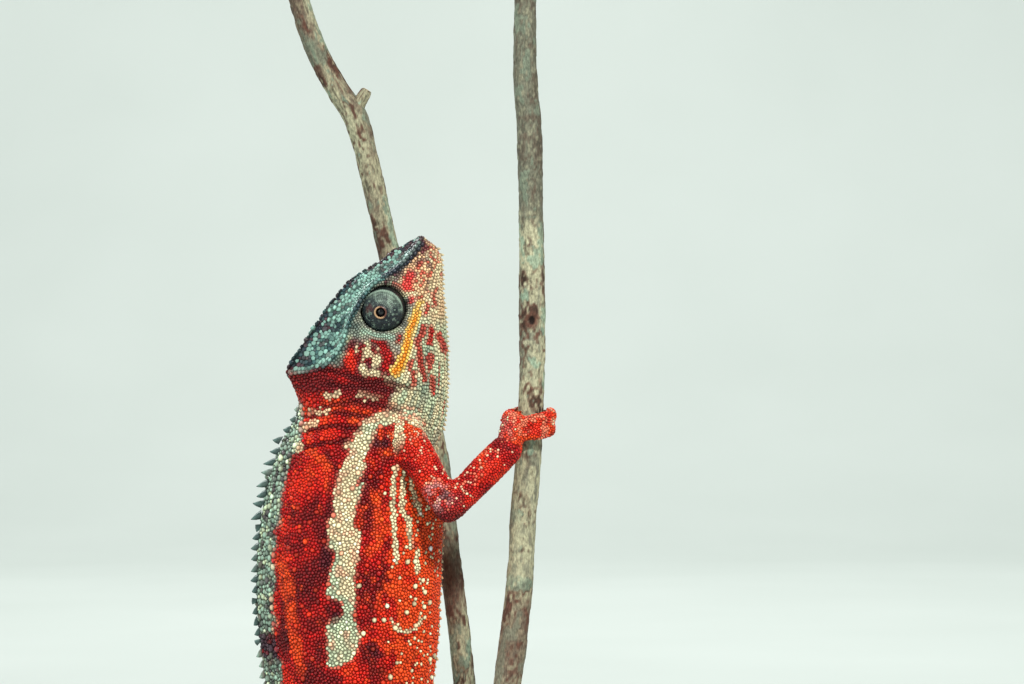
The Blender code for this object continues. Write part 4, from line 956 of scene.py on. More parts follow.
def head_relief(points):
    """How far the head's folds and ridges stand out from the plain form, in millimetres."""
    places = to_head(points)
    ahead, up, out = places.T
    mirrored = np.stack((ahead, up, np.abs(out)), axis=1)
    crest = np.concatenate((np.linspace(-7.6, 36.0, 45)[:, None],
                            keyed(CREST, np.linspace(-7.6, 36.0, 45))), axis=1)
    gap = near_line_3d(mirrored, crest)
    relief = 0.85 * np.exp(-(gap / 1.1) ** 2) - 0.30 * np.exp(-((gap - 2.8) / 1.2) ** 2)
    seen = np.stack((ahead, up * math.cos(HEAD_ROLL) - np.abs(out) * math.sin(HEAD_ROLL)), axis=1)
    casque = up > keyed(CREST, ahead)[:, 0]
    for line in PALE_RIDGES[1:]:
        relief += 0.35 * np.exp(-((line_distance(seen, line) + 0.4) / 0.8) ** 2) * casque
    for line in CASQUE_TROUGHS:
        relief -= 0.28 * np.exp(-(np.maximum(line_distance(seen, line), 0.0) / 0.6) ** 2) * casque
    bumps = noise(points, 1.9, 92) * (up > keyed(CREST, ahead)[:, 0] + 0.8)
    relief += 0.22 * bumps
    middle_ridge = np.exp(-(out / 1.3) ** 2) * (up > 12.0) * smooth_step(24.0, 12.0, ahead)
    relief += 0.5 * middle_ridge * smooth_step(-12.0, -7.0, ahead)
    mouth = np.exp(-((up - MOUTH_LINE) / 0.55) ** 2) * smooth_step(-0.8, 0.6, ahead) * (np.abs(out) > 0.6)
    relief -= 0.45 * mouth
    lips = np.exp(-((up - MOUTH_LINE - 1.5) / 0.9) ** 2) + np.exp(-((up - MOUTH_LINE + 1.4) / 0.9) ** 2)
    relief += 0.22 * lips * smooth_step(-1.0, 1.0, ahead) * (np.abs(out) > 1.5)
    pleats = np.cos(2 * math.pi * np.arctan2(up - 3.0, np.abs(out)) * 10.5 / 1.96)
    relief += 0.15 * pleats * smooth_step(-0.5, -3.0, up) * smooth_step(33.0, 26.0, ahead)
    relief += fold_relief(on_plan(points), CHEEK_FOLDS) * (np.abs(out) > 2.0)
    nostril = np.linalg.norm(mirrored - np.array(NOSTRIL), axis=1)
    relief += 0.25 * np.exp(-((nostril - 1.35) / 0.5) ** 2) - 0.9 * np.exp(-(nostril / 0.75) ** 2)
    for side, sign in SIDE_SIGNS:
        centre = eye_middle(sign)
        gaze = np.array(GAZE[side])
        offset = points - centre
        along = offset @ gaze
        wide = np.linalg.norm(offset - along[:, None] * gaze, axis=1)
        fold = np.exp(-((wide - 7.5) / 0.8) ** 2) * (along > -4.5)
        relief += 0.40 * fold - 0.22 * np.exp(-((wide - 9.0) / 0.6) ** 2) * (along > -4.5)
    return relief


FOLD_LINES = (*NECK_FOLDS, *CHEEK_FOLDS,
              ((-5.0, 226.0, 0.2), (-4.2, 221.0, 0.3), (-2.8, 215.0, 0.2)),
              ((-0.5, 224.0, 0.2), (0.8, 219.0, 0.3), (2.6, 213.0, 0.2)),
              ((-7.0, 224.0, 0.2), (-7.6, 218.0, 0.2), (-7.0, 212.0, 0.1)))


def body_relief(points):
    """Folds of the neck and armpits, and faint ribs."""
    return 0.16 * noise(points * (1.0, 1.0, 1.6), 9.0, 91) + fold_relief(on_plan(points), FOLD_LINES)


def build_skin():
    """The skin's points, quads, normals and kinds of flesh."""
    joined = joined_flesh()
    points = np.empty(len(joined.vertices) * 3, np.float32)
    joined.vertices.foreach_get("co", points)
    points = points.reshape(-1, 3).astype(float)
    corners = np.empty(len(joined.loops), np.int32)
    joined.loops.foreach_get("vertex_index", corners)
    quads = corners.reshape(-1, 4)
    bpy.data.meshes.remove(joined)
    owners = owners_at(points)
    kinds = np.array([kind_of(name) for name in owners])
    strengths = np.array([SMOOTHING[kind] for kind in kinds])
    relaxer = Relaxer(quads, len(points))
    strengths = relaxer.relax(strengths[:, None], np.full(len(points), 0.8), 6)[:, 0] * 0.8
    smooth = relaxer.relax(points, strengths, SMOOTH_ROUNDS)
    smooth += relaxer.relax(points - smooth, strengths, SMOOTH_ROUNDS)
    feet = (kinds == "foot").astype(float)
    smooth += (smooth - relaxer.relax(smooth, feet, 10)) * FOOT_SHARPENING
    normals = vertex_normals(smooth, quads)
    relief = np.full(len(points), -(GROW_TO_JOIN + COAT_DEPTH))
    head, body = kinds == "head", kinds == "body"
    relief[head] += head_relief(smooth[head])
    relief[body] += body_relief(smooth[body])
    relief[kinds == "limb"] += 0.18
    relief = relaxer.relax(relief[:, None], np.full(len(points), 0.4), 2)[:, 0]
    smooth += normals * relief[:, None]
    return smooth, quads, vertex_normals(smooth, quads), kinds


SKIN_POINTS, SKIN_QUADS, SKIN_NORMALS, SKIN_KINDS = build_skin()
SKIN_TREE = BVHTree.FromPolygons([tuple(p) for p in SKIN_POINTS], SKIN_QUADS.tolist())


def onto_skin(points):
    """The nearest places on the skin, the skin's direction there, and how far each point moved."""
    found = [SKIN_TREE.find_nearest(point) for point in points]
    places = np.array([hit[0] for hit in found]).reshape(-1, 3)
    quads = SKIN_QUADS[np.array([hit[2] for hit in found], int)]
    moved = np.array([hit[3] for hit in found])
    return places, unit(SKIN_NORMALS[quads].sum(1)), moved


# ================================================================ where the scales sit
# Columns of the table of scales: half is each one's own reach along and across, where it has one.
PLACE, NORMAL, ALONG, HALF = slice(0, 3), slice(3, 6), slice(6, 9), slice(13, 15)
SIZE, HEIGHT, SHARP, LEAN = 9, 10, 11, 12


class Coat:
    """The scales: their places, sizes, heights, shapes and lie."""

    def __init__(self):
        self.rows = []
        self.tree = None

    def add(self, points, size, height, along, sharp=0.0, lean=0.0, wide=None, apart=0.62):
        """Add scales near points. Those off the skin or too near to earlier ones are left out."""
        points = np.atleast_2d(points)
        count = len(points)
        if not count:
            return
        places, normals, moved = onto_skin(points)
        size = np.broadcast_to(size, count)
        height = np.broadcast_to(height, count)
        along = np.broadcast_to(along, (count, 3))
        along = unit(along - normals * (along * normals).sum(1)[:, None])
        keep = moved < 1.6
        if self.tree is not None:
            sizes = self.sizes
            for i in np.nonzero(keep)[0]:
                _, near, gap = self.tree.find(places[i])
                keep[i] = gap > apart * 0.5 * (size[i] + sizes[near])
        half = np.broadcast_to((np.nan, np.nan) if wide is None else wide, (count, 2))
        rows = np.concatenate((places, normals, along, size[:, None], height[:, None],
                               np.broadcast_to(sharp, count)[:, None], np.full((count, 1), lean),
                               half), axis=1)
        self.rows.append(rows[keep])
        self.refresh()

    def refresh(self):
        table = self.table()
        self.tree = point_tree(table[:, PLACE])
        self.sizes = table[:, SIZE]

    def table(self):
        return np.concatenate(self.rows)


COAT = Coat()


def spaced(line, spacing):
    """Points evenly spaced along a line, and the directions there."""
    length = lengths_along(line)
    count = max(2, int(round(length[-1] / spacing)) + 1)
    points = points_along(line, length, np.linspace(0.0, length[-1], count))
    return points, unit(np.gradient(points, axis=0))


ROUND_RAYS = 72


def rings_round(centres, ways, ups, tree, round_spacing):
    """Rows of places round a limb or the trunk, found by rays from its middle line."""
    all_points, all_ways = [], []
    for row, (centre, way, up, spacing) in enumerate(zip(centres, ways, ups, round_spacing)):
        side = np.cross(way, up)
        hits = []
        for angle in np.linspace(0.0, 2 * math.pi, ROUND_RAYS + 1)[:-1]:
            ray = up * math.cos(angle) + side * math.sin(angle)
            hit = tree.ray_cast(Vector(centre), Vector(ray))
            hits.append(hit[0] if hit[0] is not None else (np.nan,) * 3)
        line = np.array(hits + hits[:1], float)
        length = lengths_along(line)
        count = int(round(length[-1] / spacing))
        if count < 4:
            continue
        marks = (np.arange(count) + 0.5 * (row % 2)) * length[-1] / count
        fixed = np.where(np.isfinite(line), line, 0.0)
        points = points_along(fixed, length, marks)
        good = np.interp(marks, length, np.isfinite(line[:, 0]).astype(float)) > 0.99
        radial = points - centre
        all_points.append(points[good])
        all_ways.append(np.cross(way, unit(radial))[good])
    return np.concatenate(all_points), np.concatenate(all_ways)


def hit_skin(starts, way):
    """Where rays from some starts along one way first meet the skin."""
    way = Vector(way)
    hits = [SKIN_TREE.ray_cast(Vector(start), way)[0] for start in starts]
    return np.array([tuple(hit) for hit in hits if hit is not None]).reshape(-1, 3)


def dorsal_spines():
    """The crest of cones along the back, leaning toward the tail."""
    heights = np.arange(VENT_HEIGHT + 3.0, 239.0, SPINE_SPACING)
    backs = hit_skin([(-80.0, 0.0, height) for height in heights], (1.0, 0.0, 0.0))
    tall = keyed(SPINE_HEIGHT, backs[:, 2])[:, 0] * RANDOM.uniform(0.75, 1.1, len(backs)) + 0.4
    COAT.add(backs, 2.4, tall, (-0.3, 0.0, -1.0), sharp=1.0, lean=0.55, wide=(1.3, 0.8))
    route = np.arange(4.0, 60.0, 2.6)
    i = np.searchsorted(TAIL_FINE, route)
    ups = TAIL_FRAMES[2][i]
    spots = TAIL_POINTS[i] + ups * keyed(TAIL_RADIUS, route)
    COAT.add(spots, 2.2, 0.9, TAIL_FRAMES[0][i], sharp=1.0, lean=0.5, wide=(1.1, 0.65))


def ventral_cones():
    """White cones down the middle of the throat and the belly."""
    chin = from_head([(ahead, -22.0, 0.0) for ahead in np.arange(-9.0, 35.0, 1.15)])
    chin = hit_skin(chin, from_head((0.0, 1.0, 0.0))[0] - from_head((0.0, 0.0, 0.0))[0])
    COAT.add(chin, 1.15, RANDOM.uniform(0.8, 1.15, len(chin)), -AHEAD, sharp=0.8, lean=0.4,
             wide=(0.56, 0.46))
    heights = np.arange(VENT_HEIGHT + 4.0, 228.0, 2.1)
    bellies = hit_skin([(60.0, 0.0, height) for height in heights], (-1.0, 0.0, 0.0))
    COAT.add(bellies, 1.35, RANDOM.uniform(0.5, 0.9, len(bellies)), (0.0, 0.0, -1.0), sharp=0.8,
             lean=0.4, wide=(0.7, 0.52))


def on_both_sides(route):
    """Places on both sides of the head for (ahead, up) rows as they show on its right side."""
    starts = MOUTH_CORNER + route[:, :1] * AHEAD + route[:, 1:2] * DORSAL + RIGHT * 40.0
    right = hit_skin(starts, -RIGHT)
    return np.concatenate((right, from_head(to_head(right) * (1.0, 1.0, -1.0))))


def head_rows():
    """Rows of larger scales on the crests, along the lips and round the eyes, on both sides."""
    aheads = np.linspace(-7.4, 35.6, 90)
    ridge = np.concatenate((aheads[:, None], keyed(CREST, aheads)), axis=1)
    for sign in (1.0, -1.0):
        line = from_head(ridge * (1.0, 1.0, sign))
        points, ways = spaced(line, 1.25)
        tall = 0.26 + 0.18 * RANDOM.random(len(points))
        COAT.add(points, 1.15, tall, ways, sharp=0.1, wide=(0.80, 0.50))
        lips = np.linspace(-0.5, 35.6, 60)
        out = keyed(LIP_OUT, lips)[:, 0]
        for up, size in ((0.72, 0.95), (-0.62, 0.92)):
            rows = from_head(np.stack((lips, np.full(len(lips), MOUTH_LINE + up), out * sign), axis=1))
            points, ways = spaced(rows, size * 0.95)
            COAT.add(points, size, 0.34, ways, wide=(0.5 * size, 0.5))
        centre = eye_middle(sign)
        gaze = np.array(GAZE["right" if sign > 0 else "left"])
        side = unit(np.cross(gaze, AHEAD))
        up = np.cross(side, gaze)
        for wide, size in ((6.55, 0.58), (7.15, 0.64), (7.85, 0.72)):
            count = int(2 * math.pi * wide / size)
            spokes = turned(full_turn(count), side, up)
            start = centre + gaze * 9.0 + spokes * wide
            hits = [SKIN_TREE.ray_cast(Vector(s), Vector(-gaze), 14.0) for s in start]
            good = [i for i, hit in enumerate(hits) if hit[0] is not None]
            if good:
                spots = np.array([hits[i][0] for i in good])
                ways = np.cross(gaze, spokes[good])
                COAT.add(spots, size, 0.26, ways)
    for line, size in ((DARK_CANTHUS, 1.35), (PALE_RIDGES[1], 1.3), (PALE_RIDGES[2], 1.3)):
        route = spaced(np.array([(row[0], row[1], 0.0) for row in line]), size * 1.15)[0]
        points = on_both_sides(route)
        COAT.add(points, size, 0.55 if line is DARK_CANTHUS else 0.28, AHEAD, sharp=0.1, wide=(0.82, 0.55))
    crown = np.linspace(-7.0, 26.0, 60)
    top = np.stack((crown, keyed(CROWN, crown)[:, 0], np.zeros(60)), axis=1)
    points, ways = spaced(from_head(top), 1.35)
    points += ways * RANDOM.uniform(-0.4, 0.4, (len(points), 1))
    sizes = RANDOM.uniform(1.0, 1.7, len(points))
    wide = np.stack((0.56 * sizes, 0.46 * sizes), axis=1)
    COAT.add(points, sizes, SCALE_RISE * sizes, ways, sharp=0.3, wide=wide)


def throat_rows():
    """Places of beads in rows lengthwise along the throat, beside the middle row of cones."""
    rows = []
    for ahead in np.arange(-9.5, 33.0, 1.02):
        middle = from_head((ahead, 3.0, 0.0))[0]
        for sign in (1.0, -1.0):
            hits = []
            for angle in np.radians(np.arange(-90.0, 6.0, 1.5)):
                ray = from_head((ahead, 3.0 + math.sin(angle), sign * math.cos(angle)))[0] - middle
                hit = SKIN_TREE.ray_cast(Vector(middle), Vector(ray))
                if hit[0] is not None:
                    hits.append(tuple(hit[0]))
            line = np.array(hits)
            if len(line) < 5:
                continue
            length = lengths_along(line)
            points = points_along(line, length, np.arange(0.9, length[-1], 0.86))
            rows.append(points[to_head(points)[:, 1] < -1.2])
    return np.concatenate(rows)


PALE_BEAD_SIZE = 1.45
LARGE_TRIES = 1700


def large_beads():
    """Single larger scales: pale ones at their own places, and others strewn over the flanks."""
    pale = []
    for x, z in PALE_BEADS:
        pale += [(x, side * 60.0, z) for side in (-1.0, 1.0)]
    spots = np.concatenate([hit_skin([start], (0.0, -start[1], 0.0)) for start in pale])
    COAT.add(spots, PALE_BEAD_SIZE, 0.58, (0.0, 0.0, 1.0), apart=0.9)
    heights = RANDOM.uniform(VENT_HEIGHT + 4.0, 234.0, LARGE_TRIES)
    across = RANDOM.random(LARGE_TRIES)
    back, belly = keyed(BACK_LINE, heights)[:, 0], keyed(BELLY_LINE, heights)[:, 0]
    x = back + DORSAL_BAND + (belly - back - DORSAL_BAND) * across
    starts = np.stack((x, np.where(RANDOM.random(LARGE_TRIES) < 0.5, -60.0, 60.0), heights), axis=1)
    spots, sizes = [], []
    for start in starts:
        for spot in hit_skin([start], (0.0, -start[1], 0.0)):
            size = RANDOM.uniform(1.15, 1.5)
            if all(np.linalg.norm(spot - other) > 1.9 * size for other in spots):
                spots.append(spot)
                sizes.append(size)
    COAT.add(np.array(spots), np.array(sizes), 0.50, (0.0, 0.0, 1.0), apart=1.1)


def tail_rows():
    """Rings of scales along the tail."""
    tree, _ = tree_of(("tail_root", "tail_bend", "tail_coil", "tail_tip"))
    stations, at = [], 0.6
    while at < TAIL_LENGTH - 0.6:
        stations.append(at)
        at += 0.9 * tail_pitch(at)
    stations = np.array(stations)
    i = np.searchsorted(TAIL_FINE, stations)
    points, along = rings_round(TAIL_POINTS[i], TAIL_FRAMES[0][i], TAIL_FRAMES[2][i], tree,
                                np.array([tail_pitch(s) for s in stations]))
    size = np.array([tail_pitch(s) for s in tail_places(points)[0]])
    COAT.add(points, size, 0.36 * size, along)


def tail_pitch(distance):
    """How far apart the tail's scales stand at a distance along it."""
    return float(np.interp(distance, (0.0, 30.0, 100.0, 186.0), (1.04, 1.02, 0.94, 0.70)))


SCALE_SIZE = {"head": 0.80, "body": 0.85, "limb": 0.73, "foot": 0.66}
CASQUE_SCALE = 1.28
BAND_SCALES, BAND_SHARES = (0.95, 1.45, 1.9), (0.35, 0.35, 0.30)


def scale_size(points, kinds):
    """How large the scales are at points on the skin."""
    ahead, up, _ = to_head(points).T
    over = up - keyed(CREST, ahead)[:, 0]
    eye = np.hypot(ahead - EYE_PLACE[0], up - EYE_PLACE[1])
    head = SCALE_SIZE["head"] - 0.04 * smooth_step(18.0, 26.0, ahead)
    head = head - 0.14 * smooth_step(11.0, 7.0, eye)
    casque = (CASQUE_SCALE - 0.32 * smooth_step(12.0, 26.0, ahead)) * RANDOM.uniform(0.6, 1.2, len(points))
    head = np.where(over > 0.3, casque, head)
    size = np.full(len(points), SCALE_SIZE["body"])
    size[kinds == "head"] = head[kinds == "head"]
    for kind in ("limb", "foot"):
        size[kinds == kind] = SCALE_SIZE[kind]
    tail = kinds == "tail"
    if tail.any():
        size[tail] = [tail_pitch(s) for s in tail_places(points[tail])[0]]
    band = (kinds == "body") & in_dorsal_band(points)
    size[band] = RANDOM.choice(BAND_SCALES, band.sum(), p=BAND_SHARES)
    return size * RANDOM.uniform(0.78, 1.16, len(points))


def in_dorsal_band(points):
    """Which points lie in the pale band along the back."""
    back = keyed(BACK_LINE, points[:, 2])[:, 0]
    return (points[:, 0] - back < DORSAL_BAND) & (points[:, 2] < BAND_TOP + 1.0)


PLATE_SHARPNESS = -0.7
SCALE_RISE = 0.34
GRID_CELL = 2.0


def strewn_points(kind, per_area, inside):
    """Random places on one kind of flesh, or on a region of it."""
    chosen = np.nonzero((SKIN_KINDS[SKIN_QUADS] == kind).all(1))[0]
    if inside is not None:
        chosen = chosen[inside(SKIN_POINTS[SKIN_QUADS[chosen, 0]])]
    corners = SKIN_POINTS[SKIN_QUADS[chosen]]
    crossed = np.cross(corners[:, 2] - corners[:, 0], corners[:, 3] - corners[:, 1])
    area = 0.5 * np.linalg.norm(crossed, axis=1)
    picks = RANDOM.choice(len(chosen), int(area.sum() * per_area), p=area / area.sum())
    u, v = RANDOM.random((2, len(picks), 1))
    c = corners[picks]
    return (c[:, 0] * (1 - u) + c[:, 1] * u) * (1 - v) + (c[:, 3] * (1 - u) + c[:, 2] * u) * v


def with_room(points, sizes, apart):
    """Those places, taken in turn, that stand clear of the coat and of the ones taken before."""
    grid, taken, taken_size = {}, [], []
    steps = [(dx, dy, dz) for dx in (-1, 0, 1) for dy in (-1, 0, 1) for dz in (-1, 0, 1)]

    def crowded(point, size, cell):
        for step in steps:
            for j in grid.get(tuple(a + b for a, b in zip(cell, step)), ()):
                limit = apart * 0.5 * (size + taken_size[j])
                if sum((a - b) ** 2 for a, b in zip(taken[j], point)) < limit * limit:
                    return True
        return False

    for point, size in zip(points, sizes):
        _, near, gap = COAT.tree.find(point)
        if gap < apart * 0.5 * (size + COAT.sizes[near]):
            continue
        point = tuple(point)
        cell = tuple(int(value // GRID_CELL) for value in point)
        if not crowded(point, size, cell):
            grid.setdefault(cell, []).append(len(taken))
            taken.append(point)
            taken_size.append(size)
    return np.array(taken), np.array(taken_size)


def fill_scales(kind, per_area, apart, inside=None):
    """Pack scales into what is still bare of one kind of flesh, or of a region of it."""
    points = strewn_points(kind, per_area, inside)
    spots, sizes = with_room(points, scale_size(points, np.full(len(points), kind)), apart)
    if not len(spots):
        return
    spots = relaxed(spots, sizes)
    height = SCALE_RISE * sizes
    sharp = np.zeros(len(spots))
    if kind == "head":
        places = to_head(spots)
        plates = places[:, 1] - keyed(CREST, places[:, 0])[:, 0] > 0.3
        height = np.where(plates, 0.08 + 0.05 * sizes, height)
        sharp[plates] = PLATE_SHARPNESS
    along = AHEAD if kind == "head" else np.array((0.0, 0.3, 1.0))
    COAT.add(spots, sizes, height * RANDOM.uniform(0.8, 1.2, len(spots)), along, sharp, apart=0.5)


def relaxed(spots, sizes, rounds=5):
    """Spread new scales evenly among themselves and their older neighbours."""
    fixed = COAT.table()[:, PLACE]
    sizes_all = np.concatenate((sizes, COAT.sizes))
    for _ in range(rounds):
        tree = point_tree(np.concatenate((spots, fixed)))
        moved = spots.copy()
        for i, point in enumerate(spots):
            push = np.zeros(3)
            for near, index, gap in tree.find_range(point, 1.15 * sizes[i] + 0.3):
                if index == i or gap < 1e-6:
                    continue
                want = 0.5 * (sizes[i] + sizes_all[index]) * 1.06
                if gap < want:
                    push += (point - np.array(near)) / gap * (want - gap)
            moved[i] = point + push * 0.35
        spots = onto_skin(moved)[0]
    return spots


# ================================================================ the scales' shapes
SIDES = 6
SUNK = 0.16
PATCH = 0.0015
# Kinds of flesh in the order in which their bare skin is filled: kind, tries per mm2, closeness.
FILLS = (("head", 16.0, 0.80), ("foot", 16.0, 0.82), ("limb", 15.0, 0.80), ("body", 12.0, 0.79),
         ("tail", 6.0, 0.8))


def place_scales():
    """Place all scales: those in rows first, then the ones that fill what is bare."""
    dorsal_spines()
    ventral_cones()
    head_rows()
    throat = throat_rows()
    large_beads()
    fill_scales("body", 5.0, 0.8, in_dorsal_band)
    sway = RANDOM.normal(0.0, 1.0, (len(throat), 1)) * AHEAD * 0.22
    throat += sway + RANDOM.normal(0.0, 0.05, throat.shape)
    size = RANDOM.uniform(0.82, 1.0, len(throat))
    COAT.add(throat, size, 0.36 * size, AHEAD, apart=0.68)
    tail_rows()
    for kind, per_area, apart in FILLS:
        fill_scales(kind, per_area, apart)


def scale_reaches(table):
    """How far each scale reaches in each of its directions before it meets its neighbours."""
    points, normals, along, sizes = table[:, PLACE], table[:, NORMAL], table[:, ALONG], table[:, SIZE]
    across = np.cross(normals, along)
    near = np.array([[hit[1] for hit in COAT.tree.find_n(point, 10)[1:]] for point in points])
    offset = points[near] - points[:, None]
    flat = np.stack(((offset * along[:, None]).sum(2), (offset * across[:, None]).sum(2)), axis=2)
    depth = np.abs((offset * normals[:, None]).sum(2))
    squared = (flat ** 2).sum(2)
    squared = np.where(depth > 1.1 * sizes[:, None], 1e6, squared)
    weight = sizes[:, None] / (sizes[:, None] + sizes[near]) * 2.0
    turns = (np.arange(SIDES) + 0.25) * 2 * math.pi / SIDES
    rays = np.stack((np.cos(turns), np.sin(turns)), axis=1)
    facing = np.einsum("nmc,kc->nkm", flat, rays)
    limit = np.where(facing > 1e-3, 0.5 * (squared * weight)[:, None] / np.maximum(facing, 1e-3), 1e6)
    reach = np.minimum(limit.min(2), 0.74 * sizes[:, None])
    reach *= RANDOM.uniform(0.95, 1.0, reach.shape)
    reach = np.maximum(reach, 0.26 * sizes[:, None])
    half = table[:, HALF]
    own = 1.0 / np.sqrt((rays[:, 0][None] / half[:, :1]) ** 2 + (rays[:, 1][None] / half[:, 1:]) ** 2)
    return np.where(np.isfinite(half[:, :1]), own, reach), rays, across


def scale_mesh(name, table, reach, rays, across, colours, grounds, tips, roots):
    """One coat piece: a faceted dome or cone for each scale, with its paint and its bake patches. Each
    scale's colour runs from a darker ground at its foot, partly painted shade in the grooves, to a paler tip,
    partly a painted highlight.
    """
    count = len(table)
    points, normals, along = table[:, PLACE], table[:, NORMAL], table[:, ALONG]
    height, sharp, lean = table[:, HEIGHT], table[:, SHARP], table[:, LEAN]
    outward = (rays[:, 0][None, :, None] * along[:, None] + rays[:, 1][None, :, None] * across[:, None])
    spokes = outward * reach[:, :, None]
    rings, shades, flats = [], [], []
    unit_rays = np.broadcast_to(rays[None], (count, SIDES, 2))
    # Rows from foot to tip: the foot takes the ground colour (partly the darker skin between scales, partly
    # painted shade in the grooves), the middle a blend, the top the full colour, and the tip the paler tip
    # colour, partly a painted highlight.
    dome_rows = ((1.0, 1.02, None, grounds), (0.92, 0.70, 0.50, 0.55 * grounds + 0.40 * colours),
                 (0.56, 0.30, 0.90, colours))
    for wide, sharp_wide, rise, shade in dome_rows:
        spread = wide + (sharp_wide - wide) * sharp
        lift = -SUNK if rise is None else height * (rise + ((0.45 if rise < 0.9 else 0.80) - rise) * sharp)
        lift = np.broadcast_to(lift, count)
        base = points + normals * lift[:, None] + along * (np.maximum(lift, 0.0) * lean)[:, None]
        rings.append(base[:, None] + spokes * spread[:, None, None])
        shades.append(np.broadcast_to(shade[:, None], (count, SIDES, 3)))
        flats.append(unit_rays * wide)
    tip = points + normals * height[:, None] + along * (height * lean)[:, None]
    rings.append(tip[:, None])
    shades.append(tips[:, None])
    flats.append(np.zeros((count, 1, 2)))
    verts = np.concatenate(rings, axis=1)
    paints = np.clip(np.concatenate(shades, axis=1), 0.0, 1.0)
    patches = roots[:, None] + np.concatenate(flats, axis=1) * PATCH
    per_scale = verts.shape[1]
    first = (np.arange(count) * per_scale)[:, None]
    i = np.arange(SIDES)
    j = (i + 1) % SIDES
    quads = [np.stack((i + ring * SIDES, j + ring * SIDES, j + (ring + 1) * SIDES, i + (ring + 1) * SIDES), 1)
             for ring in (0, 1)]
    quads = np.concatenate(quads)
    caps = np.stack((i + 2 * SIDES, j + 2 * SIDES, np.full(SIDES, 3 * SIDES)), axis=1)
    all_quads = (first[:, :, None] + quads[None]).reshape(-1, 4)
    all_caps = (first[:, :, None] + caps[None]).reshape(-1, 3)
    return new_piece(name, verts.reshape(-1, 3), (all_quads, all_caps), paints.reshape(-1, 3),
                     patches.reshape(-1, 2))


def limb_places(limb, points, normals, owners, kinds):
    """Which points lie on a limb's two lengths and its foot, each with their (angle, height)."""
    root, middle_joint, end, stem = LIMBS[limb]
    kind, side = limb.split("_")
    upper, lower, pair = LIMB_NODES[kind]
    for shift, prefix, start, stop in ((0.0, upper, root, middle_joint), (60.0, lower, middle_joint, end)):
        mine = owners == prefix + side
        start = np.array(start)
        way = unit(np.array(stop) - start)
        up_way = unit(np.cross(way, (0.3, 0.2, 1.0)))
        offset = points[mine] - start
        angle = np.arctan2(offset @ np.cross(way, up_way), offset @ up_way)
        yield mine, np.stack((angle, offset @ way + shift), axis=1)
    mine = np.array([owner.startswith(pair) and owner.endswith(side) for owner in owners])
    mine &= kinds == "foot"
    middles, _, _ = stem_at(STEMS[stem], points[mine][:, 2])
    offset = points[mine] - middles
    outer = (offset * normals[mine]).sum(1) > 0
    angle = 0.5 * np.arctan2(offset[:, 1], offset[:, 0]) + np.where(outer, 0.5, -0.5) * math.pi
    yield mine, np.stack((angle, points[mine][:, 2] - middle_joint[2] + 130.0), axis=1)


def unwrapped(points, normals, owners):
    """Each scale's coat piece, and its place on an unwrap round its own part of the body."""
    groups = np.empty(len(points), dtype="U24")
    places = np.zeros((len(points), 2))
    kinds = np.array([kind_of(owner) for owner in owners])
    head = kinds == "head"
    ahead, up, out = to_head(points).T
    places[head] = np.stack((np.arctan2(out, up - 5.0), ahead), axis=1)[head]
    groups[head] = "head"
    body = kinds == "body"
    middle = 0.5 * (keyed(BACK_LINE, points[:, 2])[:, 0] + keyed(BELLY_LINE, points[:, 2])[:, 0])
    places[body] = np.stack((np.arctan2(points[:, 1], points[:, 0] - middle), points[:, 2]), axis=1)[body]
    groups[body] = "trunk"
    tail = kinds == "tail"
    if tail.any():
        distance, angle = tail_places(points[tail])
        places[tail] = np.stack((angle, distance), axis=1)
    groups[tail] = "tail"
    for limb in LIMBS:
        for mine, flat in limb_places(limb, points, normals, owners, kinds):
            places[mine], groups[mine] = flat, limb
    return groups, places


MOST_IN_A_PIECE = 6400
# GROUND_SHARE and PLATE_GROUND_SHARE darken each scale's foot, partly as the darker skin between scales and
# partly as painted shade in the grooves; TIP_GAIN pales each tip, partly as a painted highlight.
GROUND_SHARE, PLATE_GROUND_SHARE = 0.27, 0.45
TIP_GAIN = 1.24


def build_coat(material):
    """Shape and paint all scales, and part them into pieces."""
    table = COAT.table()
    reach, rays, across = scale_reaches(table)
    points, normals = table[:, PLACE], table[:, NORMAL]
    owners = owners_at(points)
    kinds = np.array([kind_of(owner) for owner in owners])
    colours = scale_colours(table, kinds)
    grounds = scale_grounds(colours, kinds)
    grounds[table[:, SHARP] < 0.0] = colours[table[:, SHARP] < 0.0] * PLATE_GROUND_SHARE
    tips = scale_tips(table, colours)
    groups, places = unwrapped(points, normals, owners)
    for group in sorted(set(groups)):
        members = np.nonzero(groups == group)[0]
        members = members[np.argsort(places[members, 1], kind="stable")]
        parts = max(1, math.ceil(len(members) / MOST_IN_A_PIECE))
        for part, chosen in enumerate(np.array_split(members, parts)):
            where = places[chosen]
            low, high = where[:, 1].min(), where[:, 1].max()
            roots = np.stack((0.02 + 0.96 * (where[:, 0] / (2 * math.pi) + 0.5),
                              0.02 + 0.96 * (where[:, 1] - low) / max(high - low, 1e-6)), axis=1)
            piece = scale_mesh(f"coat_{group}_{part + 1}", table[chosen], reach[chosen], rays,
                               across[chosen], colours[chosen], grounds[chosen], tips[chosen], roots)
            place_piece(piece, material)


